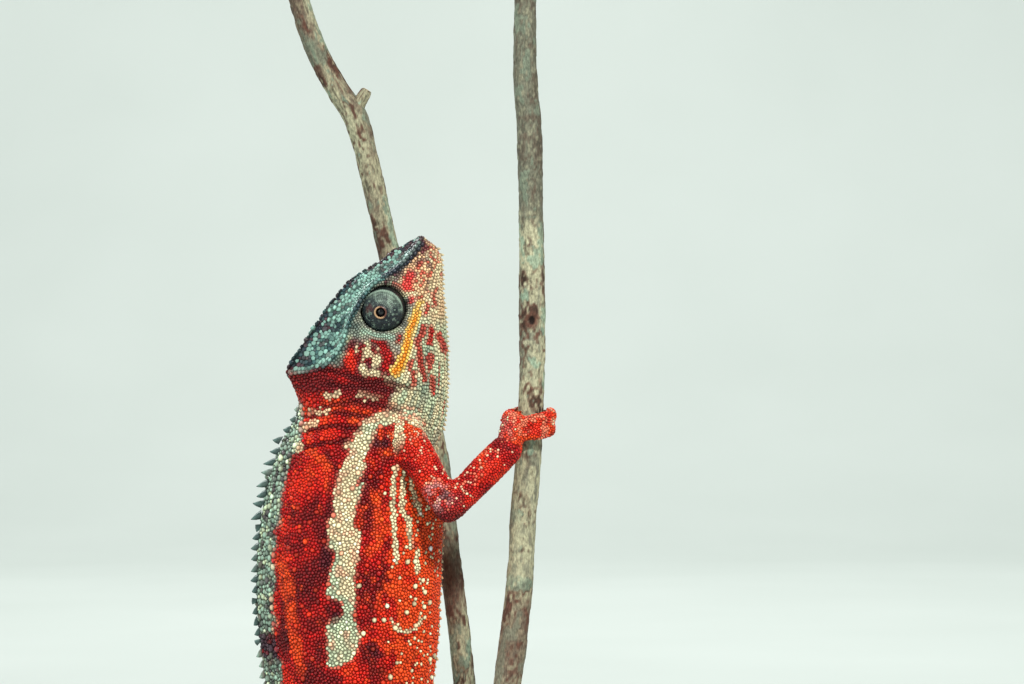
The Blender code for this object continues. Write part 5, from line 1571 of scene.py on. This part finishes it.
def scale_colours(table, kinds):
    """The markings at the scales, with a tone of its own for each, single pale ones, and painted highlights
    on upward-facing limb scales.
    """
    points, sizes, sharp = table[:, PLACE], table[:, SIZE], table[:, SHARP]
    colours = paint(points, kinds)
    plain = (kinds == "body") & ~in_dorsal_band(points)
    chance = RANDOM.random(len(points))
    large = plain & (sizes > 1.05) & (sharp < 0.1) & (colours[:, 0] > 0.12)
    colours = mixed(colours, ORANGE, large * 0.30 * chance)
    belly_side = smooth_step(-6.0, 3.0, points[:, 0]) * smooth_step(222.0, 212.0, points[:, 2])
    # Painted highlights on upward-facing limb scales: glints, and more pale pink beads there, partly real
    # pale beads.
    facing_up = smooth_step(-0.5, 0.3, table[:, NORMAL][:, 2])
    pale = (plain & (chance < 0.09 * belly_side)) | ((kinds == "limb") & (chance < 0.10 * facing_up))
    pale |= ((kinds == "tail") | (kinds == "foot")) & (chance < 0.03)
    pale |= sizes == PALE_BEAD_SIZE
    colours[pale] = CREAM
    colours[pale & (kinds == "limb")] = PINK_BEAD_AND_GLINT
    glints = (kinds == "limb") & (chance > 1.0 - 0.14 * facing_up)
    colours = mixed(colours, LIMB_GLINT, glints * 0.6)
    casque = (kinds == "head") & (sharp < 0.0)
    pick = RANDOM.random(len(points))
    colours = mixed(colours, CASQUE_PALE * 1.1, casque * (pick < 0.20) * 0.6)
    colours = mixed(colours, CASQUE_DARK, casque * (pick > 0.76) * 0.65)
    colours = mixed(colours, CASQUE_WINE * 0.7, casque * (np.abs(pick - 0.66) < 0.07) * 0.6)
    spread = np.where(kinds == "head", 0.16, 0.25)
    colours *= np.exp(RANDOM.normal(0.0, 1.0, len(points)) * spread)[:, None]
    return np.clip(special_colours(table, colours), 0.0, 0.95)


def scale_grounds(colours, kinds):
    """The darker colour that each scale's foot fades into: partly the darker skin between scales, partly
    painted shade in the grooves.
    """
    pale = smooth_step(0.12, 0.45, colours @ np.array((0.3, 0.5, 0.2)))
    reddish = np.where(kinds == "head", 0.12, 0.5)
    return mixed(colours * GROUND_SHARE, GROUND_BROWN, pale * reddish)


def scale_tips(table, colours):
    """The colour at each scale's top: paler than its sides, partly as a painted highlight, but dark at a
    spine's point.
    """
    spines = (table[:, SHARP] > 0.95) & (table[:, 2] > 100.0)
    # Tips brightened: partly the scales' own paler tops, partly a painted highlight.
    bright = colours * TIP_GAIN + 0.02
    bright[table[:, SHARP] < 0.0] = colours[table[:, SHARP] < 0.0]
    return np.where(spines[:, None], colours * 0.25, bright)


def special_colours(table, colours):
    """Grey-green dorsal spines, and white cones on the throat and belly."""
    sharp, lean = table[:, SHARP], table[:, LEAN]
    spines = (sharp > 0.95) & (table[:, 2] > 100.0)
    z = table[:, 2]
    pale = smooth_step(-0.1, 0.4, noise(table[:, PLACE], 6.0, 95))
    tone = mixed(SPINE_DARK, SPINE_PALE, pale)
    colours = np.where(spines[:, None], tone, colours)
    cones = (sharp > 0.7) & (sharp < 0.95) & (lean > 0.3)
    cone_paint = mixed(CREAM, CONE_ORANGE,
                       smooth_step(228.0, 220.0, z) * smooth_step(-0.4, 0.4, noise(table[:, PLACE], 3.0, 96)))
    return np.where(cones[:, None], cone_paint, colours)


# ================================================================ materials
def node_material(name, roughness=0.5, specular=0.5):
    """A new material, its node tree and its shader."""
    material = bpy.data.materials.new(name)
    material.use_nodes = True
    tree = material.node_tree
    shader = tree.nodes["Principled BSDF"]
    shader.inputs["Roughness"].default_value = roughness
    shader.inputs["Specular IOR Level"].default_value = specular
    return material, tree, shader


def add_node(tree, kind, inputs=None, **settings):
    """Add a node, with links or values for its inputs."""
    node = tree.nodes.new(kind)
    for key, value in settings.items():
        setattr(node, key, value)
    for key, value in (inputs or {}).items():
        if isinstance(value, bpy.types.NodeSocket):
            tree.links.new(value, node.inputs[key])
        else:
            node.inputs[key].default_value = value
    return node


def noise_node(tree, scale, detail=3.0, stretch=None, rough=0.55):
    """Noise over the object's own metres, stretched along its axes if asked."""
    where = add_node(tree, "ShaderNodeTexCoord").outputs["Object"]
    if stretch:
        where = add_node(tree, "ShaderNodeMapping", {"Vector": where, "Scale": stretch}).outputs["Vector"]
    return add_node(tree, "ShaderNodeTexNoise", {"Vector": where, "Scale": scale, "Detail": detail,
                                                 "Roughness": rough}).outputs["Fac"]


def remapped(tree, value, low, high, from_low=0.3, from_high=0.7):
    return add_node(tree, "ShaderNodeMapRange", {"Value": value, "From Min": from_low, "From Max": from_high,
                                                 "To Min": low, "To Max": high}).outputs["Result"]


def bumped(tree, shader, height, strength, distance):
    """Give a shader relief from a height."""
    bump = add_node(tree, "ShaderNodeBump", {"Height": height, "Strength": strength, "Distance": distance})
    tree.links.new(bump.outputs["Normal"], shader.inputs["Normal"])


def painted(name, roughness, vary=0.16, grain=2600.0, bump=0.25, depth=0.00006, specular=0.5,
            stretch=None):
    """A material that shows a mesh's paint, broken up by fine grain in colour, gloss and relief."""
    material, tree, shader = node_material(name, roughness, specular)
    colour = add_node(tree, "ShaderNodeAttribute", attribute_name="paint").outputs["Color"]
    fine = noise_node(tree, grain, 3.0, stretch)
    factor = remapped(tree, fine, 1.0 - vary, 1.0 + vary)
    tinted = add_node(tree, "ShaderNodeVectorMath", {0: colour, 1: factor}, operation="MULTIPLY")
    tree.links.new(tinted.outputs["Vector"], shader.inputs["Base Color"])
    tree.links.new(remapped(tree, fine, roughness - 0.10, roughness + 0.12), shader.inputs["Roughness"])
    bumped(tree, shader, fine, bump, depth)
    return material, tree, shader


def skin_material():
    """Bare skin between the scales: the same markings, dark (partly its own darker colour, partly painted
    shade in the grooves) and creased by tiny grains.
    """
    material, tree, shader = painted("skin_between_scales", 0.6, 0.2, 1800.0, specular=0.12)
    where = add_node(tree, "ShaderNodeTexCoord").outputs["Object"]
    grains = add_node(tree, "ShaderNodeTexVoronoi", {"Vector": where, "Scale": 2600.0}, feature="F1")
    bumped(tree, shader, grains.outputs["Distance"], 0.5, 0.00010)
    return material


# ================================================================ eyes
def head_axes(gaze):
    """Directions across a gaze: one toward the crown, one ahead."""
    gaze = np.array(gaze)
    crown = unit(DORSAL - gaze * (DORSAL @ gaze))
    return gaze, crown, np.cross(gaze, crown)


def ring_quads(rings, sides):
    i, j = (part.ravel() for part in np.meshgrid(np.arange(rings - 1), np.arange(sides), indexing="ij"))
    k = (j + 1) % sides
    return np.stack((i * sides + j, i * sides + k, (i + 1) * sides + k, (i + 1) * sides + j), axis=1)


def turret_profile():
    """Rows of (radius, height, angle from the gaze) from inside the lids to the turret's back."""
    lid = ((1.56, 4.62), (1.40, 4.85), (1.26, 5.15), (1.22, 5.42), (1.27, 5.62), (1.37, 5.72),
           (1.49, 5.69), (1.60, 5.56))
    rows = [(radius, height, 0.0) for radius, height in lid]
    start = math.asin(1.72 / TURRET_RADIUS)
    angles = np.linspace(start, TURRET_SPAN, 92)
    rows += [(TURRET_RADIUS * math.sin(a), TURRET_RADIUS * math.cos(a), a) for a in angles]
    return np.array(rows)


TURRET_SIDES = 312
GRAIN_ROW = 0.50


def turret_beads(polar, turn):
    """How high the bead of a ringed row stands at places on the turret, from 0 to 1."""
    arc = polar * TURRET_RADIUS
    row = np.floor(arc / GRAIN_ROW)
    grain = 0.34 + 0.13 * np.sin(np.minimum(polar, 1.6))
    count = np.maximum(np.round(2 * math.pi * TURRET_RADIUS * np.sin((row + 0.5) * GRAIN_ROW / TURRET_RADIUS)
                                / (grain + 0.1)), 6.0)
    across = np.mod(turn / (2 * math.pi) * count + 0.5 * np.mod(row, 2), 1.0)
    down = np.mod(arc / GRAIN_ROW, 1.0)
    return (np.sin(math.pi * across) * np.sin(math.pi * down)) ** 0.7 * (polar > 0.0)


def paint_turret(points, outward, polar, turn, beads):
    """Dark turret, paler above (partly its own colour, partly painted light from above), in rings and flecks,
    with a brown patch, painted shade between its grains, a painted glint, and a dark rim of painted shade
    where it meets the head.
    """
    # Painted light and shade: lighter on the upper side and darker below, partly the turret's own colour.
    upper = 0.5 + 0.5 * (outward @ unit(0.75 * np.array((0.0, 0.0, 1.0)) + 0.35 * AHEAD - 0.2 * DORSAL))
    mottle = noise(points, 1.3, 102)
    colour = mixed(TURRET_DARK, TURRET_PALE, smooth_step(0.42, 0.95, upper + 0.16 * mottle))
    rings = 0.5 + 0.5 * np.sin(polar * TURRET_RADIUS * 2 * math.pi / 1.0 + 1.2 * mottle)
    patch = line_distance(np.stack((polar * np.cos(turn), polar * np.sin(turn)), 1), TURRET_PATCH)
    colour = layered(colour * (0.62 + 0.44 * rings)[:, None],
                     (TURRET_PALE * 1.25, smooth_step(0.25, 0.55, noise(points, 0.55, 103)) * 0.55),
                     (NEAR_BLACK, smooth_step(0.3, 0.6, noise(points, 0.6, 104)) * 0.5),
                     (TURRET_BROWN, smooth_step(0.22, 0.0, patch) * smooth_step(-0.4, 0.3, mottle) * 0.8))
    # A painted highlight: a glint in a thin ring on the upper side.
    glint = np.exp(-((polar - 1.16) / 0.035) ** 2) * smooth_step(0.5, 0.8, upper)
    # Painted shade between the grains: darker where the beads are low, paler on their tops.
    return layered(colour * (0.55 + 0.65 * beads)[:, None],
                   (TURRET_PALE * 1.4, glint * 0.7),
                   # Painted shade: a near-black rim where the turret meets the head.
                   (NEAR_BLACK * 0.5, smooth_step(1.20, 1.27, polar) * 0.97))


def build_eye(side, sign, material, ball_material):
    """A turret of tiny scales in rings, with rounded lids round the opening, and the eyeball."""
    centre = eye_middle(sign)
    gaze, crown, ahead = head_axes(GAZE[side])
    profile = turret_profile()
    radius, height, polar = np.repeat(profile, TURRET_SIDES, axis=0).T
    turn = np.tile(full_turn(TURRET_SIDES), len(profile))
    beads = turret_beads(polar, turn)
    spokes = turned(turn, crown, ahead)
    outward = unit(radius[:, None] * spokes + height[:, None] * gaze)
    points = centre + radius[:, None] * spokes + height[:, None] * gaze
    lumps = 0.10 * noise(points, 2.4, 101) * (polar > 0.5)
    points = points + outward * (0.12 * beads - 0.07 + lumps)[:, None]
    colour = paint_turret(points, outward, polar, turn, beads)
    lid = polar == 0.0
    # The lid ring is painted from beige to brown across it, brown toward +X and up.
    tint_weight = 0.35 + 0.6 * smooth_step(0.0, 0.5, -spokes[lid] @ unit(np.array((-0.8, 0.0, -0.35))))
    lid_paint = mixed(LID_BEIGE, TURRET_BROWN, tint_weight)
    # Painted shade: the lid's inner side, inside the opening, is painted black.
    colour[lid] = mixed(lid_paint, NEAR_BLACK, 1.0 * (height[lid] < 5.3))
    edge = (polar > 0.0) & (polar * TURRET_RADIUS < 2.3)
    colour[edge] = mixed(colour[edge], NEAR_BLACK, np.full(edge.sum(), 0.75))
    faces = (ring_quads(len(profile), TURRET_SIDES),)
    turret = new_piece("turret_" + side, points, faces, np.clip(colour, 0.0, 1.0))
    place_piece(turret, material, ("eye_turret_" + side,))
    ball = build_eyeball(side, centre + gaze * EYEBALL_FORWARD, gaze, crown, ahead)
    place_piece(ball, ball_material, ("eyeball_" + side,))


def build_eyeball(side, centre, gaze, crown, ahead):
    """The ball behind the lids, with a pupil and a golden iris."""
    sides, polar = 96, np.linspace(0.0, math.pi, 60)[1:-1]
    turns = full_turn(sides)
    wide, turn = np.repeat(polar, sides), np.tile(turns, len(polar))
    bulge = 0.30 * np.exp(-(wide / 0.30) ** 2)
    reach = EYEBALL_RADIUS - 0.12 + bulge
    spokes = turned(turn, crown, ahead)
    points = centre + reach[:, None] * (np.sin(wide)[:, None] * spokes + np.cos(wide)[:, None] * gaze)
    iris = mixed(IRIS_GOLD, NEAR_BLACK, smooth_step(-0.2, 0.5, noise(points, 0.5, 111)) * 0.7)
    colour = mixed(iris, NEAR_BLACK * 0.4, smooth_step(0.345, 0.325, wide))
    colour = mixed(colour, NEAR_BLACK, smooth_step(0.37, 0.40, wide))
    ends = np.array((centre + gaze * (EYEBALL_RADIUS - 0.12 + 0.30), centre - gaze * (EYEBALL_RADIUS - 0.12)))
    last = len(points)
    i = np.arange(sides)
    j = (i + 1) % sides
    front = np.stack((j, i, np.full(sides, last)), axis=1)
    back = np.stack((last - sides + i, last - sides + j, np.full(sides, last + 1)), axis=1)
    colour = np.concatenate((colour, [NEAR_BLACK * 0.4, NEAR_BLACK]))
    return new_piece("eye_" + side, np.concatenate((points, ends)),
                     (ring_quads(len(polar), sides), front, back), colour)


# ================================================================ claws
CLAW_LENGTH = 2.3
CLAW_RADIUS = 0.52
CLAW_SIDES = 14
CLAW_RINGS = 12


def claw_roots(name):
    """Tips of a bundle's toes, from the small ends of the toes' shapes, and the bundle's middle."""
    points = NODE_SHAPES[name][0]
    tree = point_tree(points)
    tips, used = [], set()
    for i, point in enumerate(points):
        near = [hit[1] for hit in tree.find_range(point, 0.85)]
        if i in used or len(near) < 5:
            continue
        middle = points[near].mean(0)
        if np.linalg.norm(points[near] - middle, axis=1).max() > 0.5:
            continue
        used.update(near)
        tips.append(middle)
    return tips, points.mean(0)


def build_claws(material):
    """A curved claw on every toe."""
    verts, faces, paints, first = [], [], [], 0
    for limb, (_, _, _, stem) in LIMBS.items():
        kind, side = limb.split("_")
        for bundle in ("_outer_toes_", "_inner_toes_"):
            tips, bundle_middle = claw_roots(LIMB_NODES[kind][2] + bundle + side)
            for tip in tips:
                middles, ways, _ = stem_at(STEMS[stem], tip[2])
                inward = unit((middles[0] - tip) - ways[0] * ((middles[0] - tip) @ ways[0]))
                way = np.cross(ways[0], inward)
                way = way * np.sign(way @ (tip - bundle_middle))
                sideways = np.cross(way, inward)
                for ring in range(CLAW_RINGS + 1):
                    t = ring / CLAW_RINGS
                    spot = tip + way * CLAW_LENGTH * (t - 0.28) + inward * 1.15 * t * t
                    thick = CLAW_RADIUS * (1.0 - t) ** 0.75 + 0.03
                    turns = full_turn(CLAW_SIDES)
                    verts.append(spot + thick * (np.cos(turns)[:, None] * sideways * 0.8
                                                 + np.sin(turns)[:, None] * inward * 1.15))
                    horn = HORN_DARK + (HORN_PALE - HORN_DARK) * (1.0 - t) ** 1.5
                    paints.append(np.tile(horn, (CLAW_SIDES, 1)))
                faces.append(ring_quads(CLAW_RINGS + 1, CLAW_SIDES) + first)
                first += (CLAW_RINGS + 1) * CLAW_SIDES
    claws = new_piece("claws", np.concatenate(verts), faces, np.concatenate(paints))
    place_piece(claws, material)


# ================================================================ stems
BARK_SIDES = 88
BARK_STEP = 0.42
KNOT = (259.2, math.radians(-92.0))


def bark_relief(turn, height, radius, seed, knot):
    """Depth of the bark's surface and its paint."""
    around = np.stack((np.cos(turn) * 3.4, np.sin(turn) * 3.4, height), axis=1)
    fibres = noise(around * (1.0, 1.0, 0.12), 0.5, seed)
    strands = noise(around * (1.0, 1.0, 0.4), 0.9, seed + 5)
    plates = rough_noise(around * (1.0, 1.0, 0.6), 2.6, seed + 1)
    broad = noise(around * (1.0, 1.0, 0.35), 7.0, seed + 2)
    specks = noise(around * (1.0, 1.0, 0.7), 0.75, seed + 6)
    lumps = noise(around, 1.1, seed + 3)
    lichen = smooth_step(0.25, 0.5, noise(around * (1.0, 1.0, 0.6), 2.6, seed + 4) + 0.45 * specks)
    flake = smooth_step(0.10, 0.22, plates)
    relief = -0.14 + 0.07 * fibres + 0.13 * flake + 0.07 * lumps + 0.10 * broad + 0.05 * strands
    relief = relief + 0.05 * lichen
    smooth_stretch = smooth_step(19.0, 13.0, np.abs(height - 209.0)) * knot
    lower, upper = smooth_step(200.0, 190.0, height), smooth_step(262.0, 290.0, height) * knot
    pale = mixed(BARK_PALE, BARK_GREY, smooth_step(0.0, 0.5, strands))
    colour = layered(BARK_PALE,
                     (BARK_GREY, smooth_step(-0.2, 0.4, broad + 0.4 * strands)),
                     (BARK_BROWN, smooth_step(0.10, 0.35, plates + 0.35 * specks) * 0.75),
                     (BARK_DARK, smooth_step(0.35, 0.6, plates + 0.5 * specks) * 0.85),
                     (BARK_BROWN, smooth_step(0.20, 0.45, specks) * 0.65),
                     (BARK_DARK, smooth_step(0.30, 0.6, -strands - 0.4 * specks) * 0.6),
                     (BARK_PALE * 1.15, smooth_step(0.30, 0.5, -specks) * 0.6),
                     (LICHEN, lichen * 0.6),
                     (pale, smooth_stretch * smooth_step(0.5, 0.1, plates) * 0.75),
                     (BARK_BROWN, lower * smooth_step(-0.8, 0.3, broad + 0.3 * specks) * 0.6))
    if not knot:
        colour = mixed(colour, BARK_BROWN, smooth_step(-0.5, 0.5, broad + 0.5 * strands) * 0.6) * 0.86
    colour = mixed(colour, BARK_GREY * 0.6, upper * smooth_step(-0.3, 0.3, broad + 0.3 * specks) * 0.6)
    if knot:
        wrapped = np.mod(turn - KNOT[1] + math.pi, 2 * math.pi) - math.pi
        gap = np.hypot(wrapped * radius, (height - KNOT[0]) * 0.8)
        relief = relief + 0.26 * np.exp(-((gap - 1.5) / 0.5) ** 2) - 0.9 * np.exp(-(gap / 0.8) ** 2)
        colour = layered(colour, (BARK_BROWN, smooth_step(2.4, 1.4, gap) * 0.8),
                         (BARK_DARK * 0.4, smooth_step(1.05, 0.7, gap)))
    return np.minimum(relief, 0.12), colour * 0.82


def stem_tube(middles, ways, radii, seed, knot, sides=BARK_SIDES):
    """Points, faces and paint of a length of stem, closed by its cut ends."""
    first_way = unit(np.array((1.0, 0.0, 0.0)) - ways * ways[:, :1])
    second_way = np.cross(ways, first_way)
    turns = full_turn(sides)
    count = len(middles)
    turn = np.tile(turns, count)
    owner = np.repeat(np.arange(count), sides)
    spokes = turned(turn, first_way[owner], second_way[owner])
    height = middles[owner, 2]
    points = middles[owner] + spokes * radii[owner, None]
    relief, colour = bark_relief(turn, height, radii[owner], seed, knot)
    at_end = np.minimum(owner, count - 1 - owner) * BARK_STEP
    relief = relief - 0.35 * np.exp(-(at_end / 0.3) ** 2)
    points = points + spokes * relief[:, None]
    faces = [ring_quads(count, sides)]
    points, colour = [points], [colour]
    total = count * sides
    for end, flip in ((0, False), (count - 1, True)):
        outer = np.arange(sides) + end * sides
        last_ring = outer
        for share in (0.9, 0.72, 0.52, 0.32, 0.12):
            ring = middles[end] + spokes[outer] * radii[end] * share * 0.93
            depth = 0.06 * noise(ring * 2.0, 1.0, seed + 7)
            points.append(ring + ways[end] * depth[:, None] * (1.0 if flip else -1.0))
            tone = 0.5 + 0.5 * math.sin(share * 40.0)
            wood = mixed(WOOD_PALE, WOOD_DARK, np.full(sides, 0.25 + 0.5 * tone))
            colour.append(wood)
            ring_index = np.arange(sides) + total
            j = np.roll(np.arange(sides), -1)
            face = np.stack((last_ring, last_ring[j], ring_index[j], ring_index), axis=1)
            faces.append(face if flip else face[:, ::-1])
            last_ring = ring_index
            total += sides
        points.append(middles[end][None])
        colour.append(WOOD_DARK[None] * 0.6)
        j = np.roll(np.arange(sides), -1)
        fan = np.stack((last_ring, last_ring[j], np.full(sides, total)), axis=1)
        faces.append(fan if flip else fan[:, ::-1])
        total += 1
    return np.concatenate(points), faces, np.concatenate(colour)


def build_stems(material):
    for name, seed in (("front", 121), ("back", 141)):
        route = STEMS[name]
        low, high = route[0][2], route[-1][2]
        heights = np.linspace(low, high, int((high - low) / BARK_STEP))
        middles, ways, radii = stem_at(route, heights)
        points, faces, colour = stem_tube(middles, ways, radii, seed, 1.0 if name == "front" else 0.0)
        if name == "back":
            foot, tip, radius = TWIG_STUB
            share = np.linspace(0.0, 1.0, 26)[:, None]
            twig_middles = foot + (tip - foot) * share
            twig_ways = np.tile(unit(tip - foot), (26, 1))
            twig_radii = radius * (1.5 - 0.5 * share[:, 0])
            more, more_faces, more_colour = stem_tube(twig_middles, twig_ways, twig_radii, 161, 0.0, 60)
            faces += [face + len(points) for face in more_faces]
            points, colour = np.concatenate((points, more)), np.concatenate((colour, more_colour))
        stem = new_piece("stem_" + name, points, faces, np.clip(colour, 0.0, 1.0))
        place_piece(stem, material, ("perch_stem_" + name,))


# ================================================================ stand
BASE_TOP = 12.0
ROD_RADIUS, ROD_FOOT_RADIUS = 3.0, 8.0
CUP_WALL, CUP_DEPTH, GAP = 1.6, 6.0, 0.3
ROD_SIDES = 72


def rounded_profile(corners, radius=0.45, steps=4):
    """A profile of (radius, height) corners with each inner corner rounded off."""
    rows = [np.array(corners[0], float)]
    for before, corner, after in zip(corners[:-2], corners[1:-1], corners[2:]):
        before, corner, after = (np.array(c, float) for c in (before, corner, after))
        cut = min(radius, 0.45 * np.linalg.norm(before - corner), 0.45 * np.linalg.norm(after - corner))
        start, stop = corner + unit(before - corner) * cut, corner + unit(after - corner) * cut
        for t in np.linspace(0.0, 1.0, steps):
            rows.append(start * (1 - t) ** 2 + corner * 2 * t * (1 - t) + stop * t * t)
    rows.append(np.array(corners[-1], float))
    return np.array(rows)


def build_rod(name, route, material):
    x, y, stem_foot, stem_radius = route[0]
    floor, rim = stem_foot - GAP, stem_foot + CUP_DEPTH
    bore, seat = stem_radius + GAP, BASE_TOP + GAP
    outside = bore + CUP_WALL
    corners = ((0.02, floor), (bore, floor), (bore, rim), (outside, rim), (outside, floor - 1.5),
               (ROD_RADIUS, floor - 4.0), (ROD_RADIUS, seat + 4.5), (ROD_FOOT_RADIUS - 1.0, seat + 2.5),
               (ROD_FOOT_RADIUS, seat + 1.5), (ROD_FOOT_RADIUS, seat), (0.02, seat))
    profile = rounded_profile(corners)
    turns = full_turn(ROD_SIDES)
    spokes = np.stack((np.cos(turns), np.sin(turns), np.zeros(ROD_SIDES)), axis=1)
    points = (np.array((x, y, 0.0)) + profile[:, None, :1] * spokes[None]
              + profile[:, None, 1:] * np.array((0.0, 0.0, 1.0)))
    quads = ring_quads(len(profile), ROD_SIDES)[:, ::-1]
    rod = new_piece("rod_" + name, points.reshape(-1, 3), (quads,))
    place_piece(rod, material, ("stand_rod_" + name,))


def base_material():
    """Dark stained wood, grain along the base, under a satin finish."""
    material, tree, shader = node_material("stained_wood", 0.42)
    rings = noise_node(tree, 42.0, 5.0, (0.16, 1.0, 1.0))
    fibres = noise_node(tree, 900.0, 3.0, (0.035, 1.0, 1.0))
    ramp = add_node(tree, "ShaderNodeValToRGB", {"Fac": rings})
    ramp.color_ramp.elements[0].position = 0.36
    ramp.color_ramp.elements[0].color = (*STAIN_DARK, 1.0)
    ramp.color_ramp.elements[1].position = 0.64
    ramp.color_ramp.elements[1].color = (*STAIN_PALE, 1.0)
    factor = remapped(tree, fibres, 0.72, 1.15)
    tinted = add_node(tree, "ShaderNodeVectorMath", {0: ramp.outputs["Color"], 1: factor},
                      operation="MULTIPLY")
    tree.links.new(tinted.outputs["Vector"], shader.inputs["Base Color"])
    tree.links.new(remapped(tree, fibres, 0.34, 0.52), shader.inputs["Roughness"])
    bumped(tree, shader, fibres, 0.25, 0.00015)
    return material


def metal_material():
    """Blackened metal, a little brushed."""
    material, tree, shader = node_material("blackened_metal", 0.4)
    shader.inputs["Metallic"].default_value = 1.0
    brushed = noise_node(tree, 1500.0, 3.0, (1.0, 1.0, 0.05))
    ramp = add_node(tree, "ShaderNodeValToRGB", {"Fac": brushed})
    ramp.color_ramp.elements[0].color = (*METAL_DARK, 1.0)
    ramp.color_ramp.elements[1].color = (*METAL_PALE, 1.0)
    tree.links.new(ramp.outputs["Color"], shader.inputs["Base Color"])
    tree.links.new(remapped(tree, brushed, 0.30, 0.46), shader.inputs["Roughness"])
    bumped(tree, shader, brushed, 0.15, 0.00005)
    return material


# ================================================================ studio
def add_camera():
    data = bpy.data.cameras.new("camera")
    data.sensor_width = SENSOR_WIDTH
    data.lens = SENSOR_WIDTH * -CAMERA_PLACE[1] / VIEW_WIDTH
    data.clip_start, data.clip_end = 0.01, 20.0
    camera = bpy.data.objects.new("camera", data)
    camera.location = Vector(CAMERA_PLACE) * MM
    camera.rotation_euler = (math.radians(90.0), 0.0, 0.0)
    bpy.context.scene.collection.objects.link(camera)
    bpy.context.scene.camera = camera


def add_light(name, place, aim, size, power, colour=(1.0, 1.0, 1.0)):
    data = bpy.data.lights.new(name, "AREA")
    data.shape = "DISK"
    data.size = size
    data.energy = power
    data.color = colour
    light = bpy.data.objects.new(name, data)
    light.location = place
    way = Vector(aim) - Vector(place)
    light.rotation_euler = way.to_track_quat("-Z", "Y").to_euler()
    bpy.context.scene.collection.objects.link(light)


def build_studio():
    """A pale floor that curves up far behind the model, and soft lights."""
    rows = [(-5000.0, 0.0), (3200.0, 0.0)]
    rows += [(3200.0 + 1400.0 * math.sin(t), 1400.0 - 1400.0 * math.cos(t))
             for t in np.linspace(0.1, math.pi / 2, 14)]
    rows += [(4600.0, 5000.0)]
    points = np.array([(x, y, z) for y, z in rows for x in (-6000.0, 6000.0)])
    count = len(rows)
    quads = np.array([(2 * i, 2 * i + 1, 2 * i + 3, 2 * i + 2) for i in range(count - 1)])
    floor = new_piece("studio_floor", points, (quads,))
    material, tree, shader = node_material("studio_paper", 0.9, 0.2)
    tone = add_node(tree, "ShaderNodeValToRGB", {"Fac": noise_node(tree, 3.0, 2.0)})
    tone.color_ramp.elements[0].color = (0.50, 0.55, 0.51, 1.0)
    tone.color_ramp.elements[1].color = (0.56, 0.61, 0.57, 1.0)
    tree.links.new(tone.outputs["Color"], shader.inputs["Base Color"])
    floor.data.materials.append(material)
    world = bpy.data.worlds.new("studio")
    world.use_nodes = True
    world.node_tree.nodes["Background"].inputs["Color"].default_value = (0.92, 0.97, 1.0, 1.0)
    world.node_tree.nodes["Background"].inputs["Strength"].default_value = 0.42
    scene = bpy.context.scene
    scene.world = world
    scene.view_settings.view_transform = "Standard"
    aim = (0.0, 0.0, 0.22)
    add_light("key", (0.35, -0.95, 1.05), aim, 0.13, 18.5, (1.0, 0.97, 0.92))
    add_light("fill", (-0.95, -0.80, 0.45), aim, 0.8, 5.0, (0.96, 1.0, 1.0))
    add_light("rim", (-0.55, 0.60, 0.85), aim, 0.45, 9.0, (0.92, 1.0, 0.97))
    add_light("backdrop", (0.0, 1.6, 2.6), (0.0, 4.4, 0.7), 2.0, 110.0)


# ================================================================ all of it
def dress_skin():
    # The skin between scales is painted darker: partly its own darker colour, partly painted shade in the
    # grooves.
    colours = paint(SKIN_POINTS, SKIN_KINDS) * BARE_SKIN_SHARE
    skin = new_piece("skin", SKIN_POINTS, (SKIN_QUADS,), np.clip(colours, 0.0, 1.0))
    place_piece(skin, skin_material(), FLESH)


add_camera()
place_scales()
dress_skin()
build_coat(painted("scales", 0.32, 0.20, 3200.0, specular=0.22)[0])
TURRET_MATERIAL = painted("turret_skin", 0.34, 0.12, 3500.0, 0.2, 0.00004, 0.25)[0]
BALL_MATERIAL, _, BALL_SHADER = painted("eyeball", 0.12, 0.1, 4000.0, 0.0, specular=0.3)
BALL_SHADER.inputs["Coat Weight"].default_value = 0.35
BALL_SHADER.inputs["Coat Roughness"].default_value = 0.03
for eye_side, eye_sign in SIDE_SIGNS:
    build_eye(eye_side, eye_sign, TURRET_MATERIAL, BALL_MATERIAL)
build_claws(painted("horn", 0.35, 0.12, 2500.0)[0])
build_stems(painted("bark", 0.82, 0.42, 2200.0, 0.8, 0.00025, 0.25, (1.0, 1.0, 0.45))[0])
ROD_MATERIAL = metal_material()
build_rod("front", FRONT_STEM, ROD_MATERIAL)
build_rod("back", BACK_STEM, ROD_MATERIAL)
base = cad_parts["stand_base"]
base.data.materials.clear()
base.data.materials.append(base_material())
build_studio()
